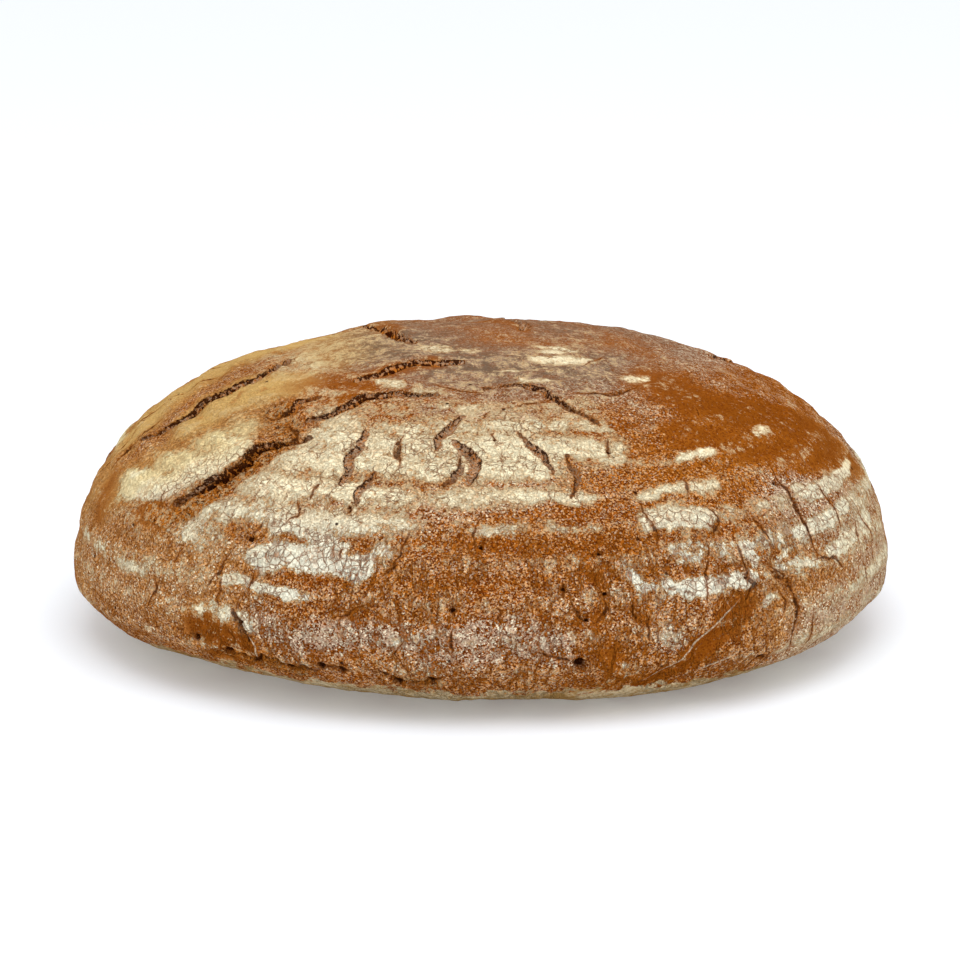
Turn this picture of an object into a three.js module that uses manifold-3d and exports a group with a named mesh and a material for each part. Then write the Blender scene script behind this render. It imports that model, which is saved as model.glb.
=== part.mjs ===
// A hearth loaf of rye bread, a little longer than it is deep, as one closed solid.
//
// The dough was proved in a basket wound from cane, so shallow coils run round the dome, and it was
// turned out and baked on a flat stone, so the underside is flat with a rounded foot. In the oven the
// skin tore: long gashes lift plates of crust on the left, short splits cross the front shoulder, and
// narrow cracks run down the flanks.
//
// Millimetres, +Z up. The origin is on the flat underside, below the crown. +X runs along the loaf's
// length, and its front faces -Y. A place on the crust is [turn, down]: turn is degrees round from the
// front towards +X, and down is the distance along the crust from the crown.

import * as THREE from "three";
import { mergeVertices } from "three/addons/utils/BufferGeometryUtils.js";
import Module from "manifold-3d";

// ---------------------------------------------------------------- driving dimensions

const LOAF_LENGTH = 280;
const LOAF_DEPTH = 252;
const LOAF_HEIGHT = 100.4;
const GIRTH_HEIGHT = 25.5; // of the widest ring, above the underside
const FOOT_SHARE = 0.66; // radius of the flat underside, as a share of the girth's
const PLAN_POWER = 2.15; // 2 is an ellipse seen from above, more is squarer
const DOME_POWER = 2.08; // the same for the dome seen from the side
const UNDERCUT_POWER = 2.05; // and for the curve from the girth in to the foot

const COIL_PITCH = 11.65; // width of one turn of the basket's cane
const COIL_RELIEF = 0.45; // half the height from a coil's groove to its ridge
const COILS_START = 30; // distance from the crown where the coils begin to show
const COILS_END = 186; // and where they have faded, under the girth

const COLUMNS = 96; // facets round the loaf
const ROWS_PER_COIL = 2;
const UNDERCUT_ROW = 7; // height of a row of facets between the girth and the foot
const MERIDIAN_STEPS = 200; // samples of each of the meridian's two curves
const CRACK_STEP = 5; // distance between the sections of a crack
const CRACK_RAGGED = 0.55; // how far a crack's edge wanders to each side
const CRACK_CLEARANCE = 2.5; // how far a crack's cutter stands out of the crust

const CRUST_COLOUR = 0x96602f;

const DEGREE = Math.PI / 180;
const HALF_LENGTH = LOAF_LENGTH / 2;
const HALF_DEPTH = LOAF_DEPTH / 2;
const MEAN_RADIUS = (HALF_LENGTH + HALF_DEPTH) / 2;
const DOME_RISE = LOAF_HEIGHT - GIRTH_HEIGHT;

// ---------------------------------------------------------------- what the oven did to the crust

// Broad swellings, and hollows where rise is negative.
const SWELLINGS = [
  { name: "lifted plate, left shoulder", at: [-58, 106], reach: 30, rise: 1.8 },
  { name: "plate behind the shoulder crack", at: [-95, 92], reach: 24, rise: 1.2 },
  { name: "hollow, far left", at: [-122, 76], reach: 20, rise: -1.3 },
  { name: "knuckle, back left", at: [-143, 56], reach: 10, rise: 1.7 },
  { name: "knuckle, back of the crown", at: [-171, 48], reach: 8, rise: 1.3 },
  { name: "hollow, back of the crown", at: [162, 50], reach: 24, rise: -1.1 },
  { name: "sunk crown", at: [30, 30], reach: 26, rise: -0.8 },
  { name: "front shoulder", at: [-4, 104], reach: 34, rise: 0.9 },
  { name: "front belly", at: [2, 152], reach: 30, rise: 0.6 },
  { name: "tucked foot, front left", at: [-36, 200], reach: 32, rise: -2.6 },
  { name: "right flank lobe", at: [42, 170], reach: 15, rise: 1.3 },
  { name: "back flank", at: [176, 150], reach: 34, rise: 1.0 },
  { name: "tucked foot, back right", at: [138, 200], reach: 36, rise: -1.6 },
];

// Smooth bands where the skin stretched and sank without tearing.
const STRETCHED_BANDS = [
  {
    name: "fold, front right",
    path: [[25, 188], [30, 177], [35, 168], [39, 160]],
    width: 11, depth: 1.1,
  },
  { name: "bare hollow, front left", path: [[-45, 176], [-38, 172], [-33, 180]], width: 14, depth: 1.2 },
  { name: "groove, right flank", path: [[46, 150], [48, 162], [48, 178]], width: 5, depth: 1.3 },
];

// Tears in the crust. Width and depth are the greatest, and lift, where there is one, raises the crust
// along the upper edge.
const CRACKS = [
  {
    name: "left gash",
    path: [[-51, 130], [-47, 122], [-44, 110], [-43, 103], [-37, 97]],
    width: 6.5, depth: 6, lift: 1.6,
  },
  {
    name: "shoulder crack",
    path: [[-75, 116], [-71, 104], [-73, 92], [-71, 78], [-81, 64]],
    width: 5, depth: 4.5, lift: 1.3,
  },
  {
    name: "outer shoulder crack",
    path: [[-77, 130], [-78, 118], [-80, 108]],
    width: 2.8, depth: 2.2, lift: 0.5,
  },
  {
    name: "torn patch, top",
    path: [[-49, 88], [-46, 83], [-48, 79], [-45, 74]],
    width: 4, depth: 3, lift: 0.6,
  },
  { name: "torn patch, right", path: [[-44, 90], [-41, 93], [-38, 97]], width: 3, depth: 2.5 },
  {
    name: "crown tear, lower",
    path: [[-39, 86], [-35, 78], [-32, 71], [-20, 66]],
    width: 4.5, depth: 4, lift: 0.7,
  },
  {
    name: "crown tear, upper",
    path: [[-48, 58], [-38, 55], [-38, 46], [-31, 40], [-11, 38]],
    width: 4.5, depth: 4, lift: 0.8,
  },
  {
    name: "crown tear, right",
    path: [[7, 58], [16, 58], [22, 67], [25, 78], [29, 84]],
    width: 4.5, depth: 4, lift: 0.5,
  },
  { name: "crown branch, right", path: [[28, 66], [36, 70], [48, 68]], width: 2.6, depth: 2, lift: 0.3 },
  {
    name: "back tear, left",
    path: [[-124, 48], [-118, 38], [-92, 28], [-65, 24]],
    width: 5.5, depth: 4.5, lift: 1.1,
  },
  {
    name: "back tear, middle",
    path: [[178, 52], [168, 36], [150, 22], [110, 14]],
    width: 4.5, depth: 4, lift: 0.8,
  },
  { name: "front split, far left", path: [[-25, 89], [-26, 97], [-25, 111]], width: 3.6, depth: 2.6 },
  { name: "front split, low left", path: [[-20, 109], [-21, 118]], width: 3.4, depth: 2.6 },
  { name: "front split, left", path: [[-17, 91], [-16, 101]], width: 2.2, depth: 2 },
  { name: "front split, upper middle", path: [[-5, 80], [-8, 87], [-9, 94]], width: 3.8, depth: 2.4 },
  { name: "front split, middle", path: [[-5, 93], [-1, 100], [-2, 109]], width: 4.2, depth: 2.8 },
  { name: "front split, right", path: [[9, 89], [11, 98], [14, 105]], width: 3.4, depth: 2.8 },
  { name: "front split, far right", path: [[16, 101], [18, 108], [16, 115]], width: 2.8, depth: 2.2 },
  {
    name: "long crack, right",
    path: [[55, 115], [55, 128], [53, 140], [54, 151], [58, 154], [61, 160]],
    width: 2.4, depth: 2.8, lift: 0.3,
  },
  { name: "flank crack, right", path: [[27, 119], [28, 130], [27, 139]], width: 2, depth: 2 },
  { name: "flank crack, upper right", path: [[38, 125], [39, 131], [37, 136]], width: 2, depth: 2 },
  { name: "fold's head", path: [[39, 145], [41, 152], [39, 159]], width: 2.6, depth: 2.8, lift: 0.4 },
  {
    name: "lobe's edge",
    path: [[46, 149], [48, 158], [48, 170], [47, 180]],
    width: 2.6, depth: 2, lift: 0.4,
  },
  {
    name: "bare hollow's edge",
    path: [[-36, 161], [-34, 168], [-32, 175]],
    width: 2.4, depth: 2.6, lift: 0.3,
  },
  {
    name: "foot crack, left",
    path: [[-36, 181], [-31, 175], [-24, 179]],
    width: 3.4, depth: 3, lift: 0.4,
  },
  {
    name: "foot crack, middle",
    path: [[-13, 181], [-9, 177], [-3, 175]],
    width: 2.8, depth: 2.4, lift: 0.2,
  },
  { name: "belly crack", path: [[-11, 130], [-12, 139], [-15, 145]], width: 2.6, depth: 2.6 },
  {
    name: "back flank crack",
    path: [[164, 112], [170, 126], [167, 140]],
    width: 3, depth: 2.8, lift: 0.3,
  },
  {
    name: "back shoulder gash",
    path: [[-160, 84], [-150, 92], [-144, 104]],
    width: 4.6, depth: 4, lift: 0.9,
  },
  { name: "right back gash", path: [[98, 74], [108, 84], [112, 98]], width: 4, depth: 3.6, lift: 0.7 },
  { name: "right end crack", path: [[92, 126], [94, 140], [91, 154]], width: 2.4, depth: 2.4, lift: 0.2 },
  {
    name: "left end crack",
    path: [[-98, 134], [-96, 148], [-100, 160]],
    width: 2.4, depth: 2.4, lift: 0.2,
  },
];

// Round blow-holes where steam broke through.
const BLOW_HOLES = [
  { name: "by the fold", at: [14, 172], radius: 2.2, depth: 3.2 },
  { name: "on the long crack", at: [54, 122], radius: 1.8, depth: 3.2 },
  { name: "left belly", at: [-36, 136], radius: 1.6, depth: 2.6 },
];

// ---------------------------------------------------------------- the plain form

const smooth = (x) => {
  const t = Math.min(1, Math.max(0, x));
  return t * t * (3 - 2 * t);
};

// The meridian from the crown to the foot: its distance from the axis as a share of the girth's
// radius, its height, and the distance down the crust, measured at the mean radius.
const meridian = (() => {
  const points = [];
  for (let i = 0; i <= MERIDIAN_STEPS; i++) {
    const angle = (1 - i / MERIDIAN_STEPS) * 90 * DEGREE;
    points.push({
      share: i ? Math.cos(angle) ** (2 / DOME_POWER) : 0,
      height: GIRTH_HEIGHT + DOME_RISE * Math.sin(angle) ** (2 / DOME_POWER),
    });
  }
  for (let i = 1; i <= MERIDIAN_STEPS; i++) {
    const angle = (i / MERIDIAN_STEPS) * 90 * DEGREE;
    points.push({
      share: FOOT_SHARE + (1 - FOOT_SHARE) * Math.max(0, Math.cos(angle)) ** (2 / UNDERCUT_POWER),
      height: GIRTH_HEIGHT * (1 - Math.sin(angle) ** (2 / UNDERCUT_POWER)),
    });
  }
  points[0].down = 0;
  for (let i = 1; i < points.length; i++) {
    const across = (points[i].share - points[i - 1].share) * MEAN_RADIUS;
    points[i].down = points[i - 1].down + Math.hypot(across, points[i].height - points[i - 1].height);
  }
  return points;
})();
const GIRTH_DOWN = meridian[MERIDIAN_STEPS].down;
const FOOT_DOWN = meridian[meridian.length - 1].down;

function meridianAt(down) {
  let low = 0;
  let high = meridian.length - 1;
  while (high - low > 1) {
    const middle = (low + high) >> 1;
    if (meridian[middle].down <= down) low = middle;
    else high = middle;
  }
  const t = Math.min(1, (down - meridian[low].down) / (meridian[high].down - meridian[low].down));
  return {
    share: THREE.MathUtils.lerp(meridian[low].share, meridian[high].share, t),
    height: THREE.MathUtils.lerp(meridian[low].height, meridian[high].height, t),
  };
}

function planRadius(turn) {
  const along = Math.abs(Math.sin(turn * DEGREE) / HALF_LENGTH) ** PLAN_POWER;
  const across = Math.abs(Math.cos(turn * DEGREE) / HALF_DEPTH) ** PLAN_POWER;
  return (along + across) ** (-1 / PLAN_POWER);
}

function formPoint(turn, down) {
  const { share, height } = meridianAt(down);
  const radius = planRadius(turn) * share;
  return new THREE.Vector3(radius * Math.sin(turn * DEGREE), -radius * Math.cos(turn * DEGREE), height);
}

function formNormal(turn, down) {
  const step = 0.5;
  const place = Math.min(Math.max(down, 2 * step), FOOT_DOWN - 2 * step);
  const round = formPoint(turn + step, place).sub(formPoint(turn - step, place));
  const downwards = formPoint(turn, place + step).sub(formPoint(turn, place - step));
  return downwards.cross(round).normalize();
}

// ---------------------------------------------------------------- relief on the form

const PATH_STEPS = 12; // samples between two points of a path, for measuring distances

// A path on the crust as points, with the direction across it that leads towards the crown.
function routeOf(path) {
  const turns = new THREE.CatmullRomCurve3(path.map(([turn, down]) => new THREE.Vector3(turn, down, 0)));
  const places = turns.getPoints((path.length - 1) * PATH_STEPS).map((p) => [p.x, p.y]);
  const points = places.map(([turn, down]) => formPoint(turn, down));
  return points.map((point, i) => {
    const normal = formNormal(...places[i]);
    const next = points[Math.min(i + 1, points.length - 1)];
    const along = next.clone().sub(points[Math.max(i - 1, 0)]).normalize();
    const upper = normal.clone().cross(along).normalize();
    const towardsCrown = formPoint(places[i][0], places[i][1] - 1).sub(point);
    if (upper.dot(towardsCrown) < 0) upper.negate();
    return { turn: places[i][0], down: places[i][1], point, normal, along, upper };
  });
}

// Distance from a point to a route, and how far along it the nearest place is, from 0 to 1.
function nearestOn(route, point) {
  let best = { distance: Infinity, index: 0 };
  route.forEach((place, index) => {
    const distance = place.point.distanceTo(point);
    if (distance < best.distance) best = { distance, index };
  });
  const place = route[best.index];
  const above = point.clone().sub(place.point).dot(place.upper) > 0;
  return { distance: best.distance, share: best.index / (route.length - 1), above };
}

const crackRoutes = CRACKS.map((crack) => ({ ...crack, route: routeOf(crack.path) }));
const bandRoutes = STRETCHED_BANDS.map((band) => ({ ...band, route: routeOf(band.path) }));

// Hand-shaped dough is never even: a few long waves in directions spread by the golden angle.
const WAVES = 9;
const GOLDEN_ANGLE = 137.5;
function unevenness(point) {
  let sum = 0;
  for (let i = 0; i < WAVES; i++) {
    const bearing = i * GOLDEN_ANGLE * DEGREE;
    const tilt = Math.asin(1 - (2 * i + 1) / WAVES);
    const length = 100 / (1 + 0.32 * i);
    const across = Math.cos(tilt) * (point.x * Math.cos(bearing) + point.y * Math.sin(bearing));
    const phase = (across + Math.sin(tilt) * point.z) / length + i * 0.37;
    sum += Math.sin(2 * Math.PI * phase) * (0.4 / (1 + 0.25 * i));
  }
  return sum;
}

function coilRelief(down) {
  const fadeIn = smooth((down - COILS_START) / COIL_PITCH);
  const fadeOut = smooth((COILS_END - down) / COIL_PITCH);
  return COIL_RELIEF * Math.cos((2 * Math.PI * down) / COIL_PITCH) * fadeIn * fadeOut;
}

const LIFT_REACH = 9; // how far from a crack its raised edge dies away

function relief(down, point) {
  let rise = coilRelief(down) + unevenness(point);
  for (const { at, reach, rise: height } of SWELLINGS) {
    const distance = formPoint(...at).distanceTo(point);
    rise += height * Math.exp(-((distance / reach) ** 2));
  }
  for (const { route, width, depth } of bandRoutes) {
    const { distance } = nearestOn(route, point);
    rise -= depth * Math.exp(-((distance / (width / 2)) ** 2));
  }
  for (const { route, lift } of crackRoutes) {
    if (!lift) continue;
    const { distance, share, above } = nearestOn(route, point);
    const along = Math.sin(Math.PI * Math.min(0.85, Math.max(0.15, share)));
    if (above) rise += lift * along * Math.exp(-((distance / LIFT_REACH) ** 2));
  }
  return rise * smooth((FOOT_DOWN - down) / COIL_PITCH);
}

// ---------------------------------------------------------------- solids

function dome() {
  const rows = [];
  const step = COIL_PITCH / ROWS_PER_COIL;
  for (let down = step; down < GIRTH_DOWN; down += step) rows.push(down);
  const lastDown = rows[rows.length - 1];
  const undercutRows = Math.round((FOOT_DOWN - lastDown) / UNDERCUT_ROW);
  for (let i = 1; i <= undercutRows; i++) {
    rows.push(THREE.MathUtils.lerp(lastDown, FOOT_DOWN, i / undercutRows));
  }
  // The profile runs upwards from the middle of the underside, so that the faces point outwards.
  const places = [...rows].reverse();
  const profile = [new THREE.Vector2(0, 0)];
  for (const down of places) {
    const { share, height } = meridianAt(down);
    profile.push(new THREE.Vector2(share * MEAN_RADIUS, height));
  }
  profile.push(new THREE.Vector2(0, LOAF_HEIGHT));
  places.push(0);

  const lathe = new THREE.LatheGeometry(profile, COLUMNS);
  const position = lathe.getAttribute("position");
  for (let i = 0; i < position.count; i++) {
    const row = i % profile.length;
    const turn = (Math.floor(i / profile.length) % COLUMNS) * (360 / COLUMNS);
    if (row === 0) {
      position.setXYZ(i, 0, 0, 0);
      continue;
    }
    const down = places[row - 1];
    const plain = formPoint(turn, down);
    const raised = plain.clone().addScaledVector(formNormal(turn, down), relief(down, plain));
    if (down === 0) raised.set(0, 0, raised.z);
    raised.z = row === 1 ? 0 : Math.max(raised.z, 0);
    position.setXYZ(i, raised.x, raised.y, raised.z);
  }
  lathe.deleteAttribute("normal");
  lathe.deleteAttribute("uv");
  return mergeVertices(lathe, 1e-4);
}

// A crack's cutter: a wedge that follows the crust, pointed at both ends and at the bottom.
function crackCutter({ route, width, depth }) {
  const steps = route.slice(1).map(({ point }, i) => point.distanceTo(route[i].point));
  const length = steps.reduce((sum, step) => sum + step, 0);
  const sections = Math.max(3, Math.round(length / CRACK_STEP));
  const vertices = [];
  const triangles = [];
  const add = (point) => vertices.push(point.x, point.y, point.z) / 3 - 1;
  const surfaceAt = ({ down, point, normal }) => point.clone().addScaledVector(normal, relief(down, point));
  const start = add(surfaceAt(route[0]).addScaledVector(route[0].normal, CRACK_CLEARANCE));
  let previous = null;
  for (let i = 1; i < sections; i++) {
    const share = i / sections;
    const place = route[Math.round(share * (route.length - 1))];
    const swell = Math.sin(Math.PI * share) ** 0.6;
    const wander = CRACK_RAGGED * Math.sin(i * 2.4 + width * 5);
    const middle = surfaceAt(place).addScaledVector(place.upper, wander);
    const side = ((width * swell) / 2) * (1 + CRACK_CLEARANCE / depth);
    const top = middle.clone().addScaledVector(place.normal, CRACK_CLEARANCE);
    const across = place.normal.clone().cross(place.along).normalize();
    const section = [
      add(top.clone().addScaledVector(across, side)),
      add(middle.clone().addScaledVector(place.normal, -depth * swell)),
      add(top.clone().addScaledVector(across, -side)),
    ];
    for (let k = 0; k < 3; k++) {
      const a = section[k];
      const b = section[(k + 1) % 3];
      if (previous === null) triangles.push(start, a, b);
      else triangles.push(previous[k], a, b, previous[k], b, previous[(k + 1) % 3]);
    }
    previous = section;
  }
  const last = route[route.length - 1];
  const end = add(surfaceAt(last).addScaledVector(last.normal, CRACK_CLEARANCE));
  for (let k = 0; k < 3; k++) triangles.push(previous[k], end, previous[(k + 1) % 3]);
  const geometry = new THREE.BufferGeometry();
  geometry.setAttribute("position", new THREE.Float32BufferAttribute(vertices, 3));
  geometry.setIndex(triangles);
  return geometry;
}

function holeCutter({ at, radius, depth }) {
  const rounds = 8;
  const height = depth + CRACK_CLEARANCE;
  const cone = new THREE.CylinderGeometry(radius * 1.2, radius * 0.6, height, rounds);
  const normal = formNormal(...at);
  cone.applyQuaternion(new THREE.Quaternion().setFromUnitVectors(new THREE.Vector3(0, 1, 0), normal));
  const middle = formPoint(...at).addScaledVector(normal, (CRACK_CLEARANCE - depth) / 2);
  cone.translate(middle.x, middle.y, middle.z);
  cone.deleteAttribute("normal");
  cone.deleteAttribute("uv");
  return mergeVertices(cone, 1e-4);
}

// ---------------------------------------------------------------- joining and cutting

const wasm = await Module();
wasm.setup();

const SLIVER = 0.02; // details under this size are smoothed away after cutting

function solidOf(geometry) {
  const vertProperties = new Float32Array(geometry.getAttribute("position").array);
  const triVerts = new Uint32Array(geometry.index.array);
  return new wasm.Manifold(new wasm.Mesh({ numProp: 3, vertProperties, triVerts }));
}

function geometryOf(solid) {
  const mesh = solid.getMesh();
  const geometry = new THREE.BufferGeometry();
  geometry.setAttribute("position", new THREE.BufferAttribute(mesh.vertProperties, 3));
  geometry.setIndex(new THREE.BufferAttribute(mesh.triVerts, 1));
  geometry.computeVertexNormals();
  return geometry;
}

const cutters = [...crackRoutes.map(crackCutter), ...BLOW_HOLES.map(holeCutter)].map(solidOf);
const crackedLoaf = solidOf(dome()).subtract(wasm.Manifold.union(cutters)).simplify(SLIVER);

const crust = new THREE.MeshStandardMaterial({ color: CRUST_COLOUR, roughness: 0.85, metalness: 0 });
const loaf = new THREE.Mesh(geometryOf(crackedLoaf), crust);
loaf.name = "loaf";

const bread = new THREE.Group();
bread.add(loaf);

export default bread;
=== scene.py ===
"""The crust of a rye bread loaf, dressed over its plain solid.

One piece stands for the solid "loaf". It is a fine ball of triangles laid over the same form as the
solid: a low dome, a little longer than it is deep, that curves in to a flat foot. The proving basket's
coils, the tears of the oven, blow-holes and grain are raised and cut in the mesh. Flour, dust, crackled
skin and the finest cracks are painted by the material, which reads values stored on the mesh.

The form is worked out in millimetres and the mesh is in metres. A place on the crust is (turn, down):
turn is degrees round from the front (-Y) towards +X, and down is the distance along the crust from the
crown, in millimetres.
"""

import math
import random
from typing import NamedTuple

import bmesh
import bpy
import numpy as np
from bpy.props import FloatProperty, FloatVectorProperty, IntProperty, PointerProperty
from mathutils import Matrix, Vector, noise


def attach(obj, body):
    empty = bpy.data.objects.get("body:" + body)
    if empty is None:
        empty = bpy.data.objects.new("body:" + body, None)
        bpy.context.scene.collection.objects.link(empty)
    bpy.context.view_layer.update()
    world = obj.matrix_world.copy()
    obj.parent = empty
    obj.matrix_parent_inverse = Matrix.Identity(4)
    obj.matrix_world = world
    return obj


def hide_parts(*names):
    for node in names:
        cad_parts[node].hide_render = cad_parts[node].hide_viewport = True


bl_info = {
    "name": "Rye bread loaf",
    "version": (1, 0, 0),
    "blender": (4, 5, 0),
    "location": "3D View > Sidebar > Bread",
    "description": "Builds the floured and cracked crust of a rye bread loaf, and a pale stage for it",
    "category": "Object",
}

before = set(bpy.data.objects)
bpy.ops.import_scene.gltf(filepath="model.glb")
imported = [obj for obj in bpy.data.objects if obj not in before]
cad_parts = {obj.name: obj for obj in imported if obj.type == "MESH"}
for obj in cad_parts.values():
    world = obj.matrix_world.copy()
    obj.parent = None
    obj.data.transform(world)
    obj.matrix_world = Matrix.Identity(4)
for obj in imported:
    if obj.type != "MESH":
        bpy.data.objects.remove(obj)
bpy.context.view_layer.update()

MM = 0.001

# ---------------------------------------------------------------- the form, in millimetres

GIRTH_HEIGHT = 25.5
FOOT_SHARE = 0.66
PLAN_POWER = 2.15
DOME_POWER = 2.08
UNDERCUT_POWER = 2.05

COIL_PITCH = 11.65
COILS_START = 30.0
COILS_END = 186.0

SOLE_WEIGHT = 0.12  # share of the triangles that the sole gets for its area

# Broad swellings, and hollows where the rise is negative: place, reach and rise, in millimetres.
SWELLINGS = {
    "lifted plate, left shoulder": ((-58, 106), 30, 1.8),
    "plate behind the shoulder crack": ((-95, 92), 24, 1.2),
    "hollow, far left": ((-122, 76), 20, -1.3),
    "knuckle, back left": ((-143, 56), 10, 1.7),
    "knuckle, back of the crown": ((-171, 48), 8, 1.3),
    "hollow, back of the crown": ((162, 50), 24, -1.1),
    "sunk crown": ((30, 30), 26, -0.8),
    "front shoulder": ((-4, 104), 34, 0.9),
    "front belly": ((2, 152), 30, 0.6),
    "tucked foot, front left": ((-36, 200), 32, -2.6),
    "right flank lobe": ((42, 170), 15, 1.3),
    "back flank": ((176, 150), 34, 1.0),
    "tucked foot, back right": ((138, 200), 36, -1.6),
}


class Band(NamedTuple):
    """A stroke along the crust: its path, half its width, and how strong or deep it is."""

    path: list
    half: float
    amount: float


class Tear(NamedTuple):
    """A place where the skin parted. lift raises the crust along its upper edge."""

    path: list
    width: float
    depth: float
    lift: float = 0.0


# Smooth bands where the skin stretched and sank without tearing.
SUNK_BANDS = {
    "fold, front right": Band([(25, 186), (30, 177), (34, 168), (39, 160)], 5.0, 1.3),
    "bare hollow, front left": Band([(-41, 168), (-38, 171), (-36, 175)], 6.8, 1.4),
    "groove, right of the middle": Band([(18, 148), (17, 158), (18, 170)], 1.8, 0.8),
    "groove, right flank": Band([(46, 150), (48, 162), (48, 178)], 2.6, 1.3),
    "torn floor under the left gash": Band([(-49, 133), (-45, 124), (-42, 114), (-41, 106)], 4.0, 1.2),
    "torn patch at the gash's head": Band([(-50, 88), (-46, 90), (-41, 95)], 6.0, 1.4),
    "hollow under the crown tear": Band([(-44, 66), (-30, 74)], 7.0, 0.8),
}

# Tears and cracks wide enough to show how deep they are.
GASHES = {
    "left gash": Tear(
        [(-51, 130), (-49, 124), (-46, 118), (-44, 111), (-44, 104), (-40, 99), (-37, 96)], 2.8, 4.2, 1.9
    ),
    "shoulder crack": Tear(
        [(-75, 116), (-71, 104), (-73, 92), (-71, 78), (-75, 70), (-81, 64)], 3.0, 3.0, 1.2
    ),
    "outer shoulder crack": Tear([(-77, 129), (-78, 117), (-79, 110)], 1.4, 1.6, 0.5),
    "torn patch, top": Tear([(-49, 88), (-46, 83), (-48, 79), (-46, 75)], 2.4, 2.4, 0.6),
    "torn patch, right": Tear([(-44, 90), (-41, 93), (-38, 97)], 1.8, 2.0),
    "crown tear, lower": Tear(
        [(-40, 86), (-36, 82), (-35, 76), (-33, 70), (-24, 66), (-15, 64)], 3.2, 2.8, 0.9
    ),
    "crown tear, upper": Tear(
        [(-41, 60), (-38, 54), (-36, 48), (-33, 41), (-25, 39), (-13, 37)], 4.4, 3.4, 1.0
    ),
    "crown tear, right": Tear([(2, 58), (13, 56), (20, 62), (21, 69), (24, 76), (27, 83)], 2.2, 2.2, 0.6),
    "crown branch, right": Tear([(28, 66), (34, 67), (37, 70), (48, 68)], 1.6, 1.4, 0.3),
    "back tear, left": Tear([(-124, 48), (-118, 38), (-106, 32), (-87, 27), (-65, 24)], 4.4, 4.0, 1.2),
    "back tear, middle": Tear([(178, 52), (168, 36), (150, 22), (110, 14)], 3.6, 3.4, 0.8),
    "front split, far left": Tear([(-26, 89), (-25, 95), (-26, 101), (-25, 107), (-25, 111)], 3.4, 1.2),
    "front split, low left": Tear([(-20, 109), (-21, 114), (-21, 119)], 2.8, 1.4),
    "front split, left": Tear([(-17, 91), (-17, 96), (-16, 102)], 1.8, 1.0),
    "front split, upper middle": Tear([(-5, 80), (-7, 84), (-9, 88), (-9, 94)], 3.2, 1.2),
    "front split, middle": Tear([(-5, 93), (-3, 96), (-1, 100), (-1, 104), (-2, 109)], 3.8, 1.5),
    "front split, middle branch": Tear([(-4, 101), (-4, 106), (-6, 110)], 2.2, 1.2),
    "front split, right": Tear([(9, 89), (10, 94), (12, 99), (13, 105)], 2.4, 1.4),
    "front split, far right": Tear([(17, 101), (17, 105), (18, 109), (16, 115)], 2.0, 1.2),
    "long crack, right": Tear([(55, 115), (55, 125), (54, 134), (54, 143), (54, 150)], 1.4, 1.4, 0.3),
    "long crack's turn": Tear([(53, 150), (54, 149), (56, 152), (57, 151), (59, 156)], 1.5, 1.2),
    "fold's head": Tear([(39, 145), (40, 150), (41, 153), (39, 158)], 1.3, 1.6, 0.4),
    "lobe's edge": Tear([(45, 150), (47, 154), (48, 158), (48, 168), (47, 173), (48, 179)], 1.3, 1.2, 0.4),
    "bare hollow's edge": Tear([(-36, 161), (-35, 164), (-34, 169)], 2.0, 2.2, 0.3),
    "foot crack, left": Tear(
        [(-38, 177), (-36, 178), (-34, 179), (-32, 176), (-28, 178), (-25, 178)], 2.6, 2.8, 0.4
    ),
    "foot crack, low left": Tear([(-24, 175), (-22, 175), (-19, 176)], 1.4, 1.4),
    "foot crack, middle": Tear([(-14, 176), (-12, 180), (-10, 181), (-6, 177)], 2.0, 2.0, 0.2),
    "belly crack": Tear([(-11, 130), (-12, 135), (-13, 141), (-15, 145)], 1.0, 1.6),
    "back flank crack": Tear([(164, 112), (170, 126), (167, 140)], 2.0, 2.2, 0.3),
    "back shoulder gash": Tear([(-160, 84), (-150, 92), (-144, 104)], 3.4, 3.4, 0.9),
    "right back gash": Tear([(103, 80), (109, 86), (113, 98)], 3.0, 3.0, 0.7),
    "right end crack": Tear([(92, 126), (94, 140), (91, 154)], 1.6, 1.8, 0.2),
    "left end crack": Tear([(-98, 134), (-96, 148), (-100, 160)], 1.6, 1.8, 0.2),
}

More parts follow.
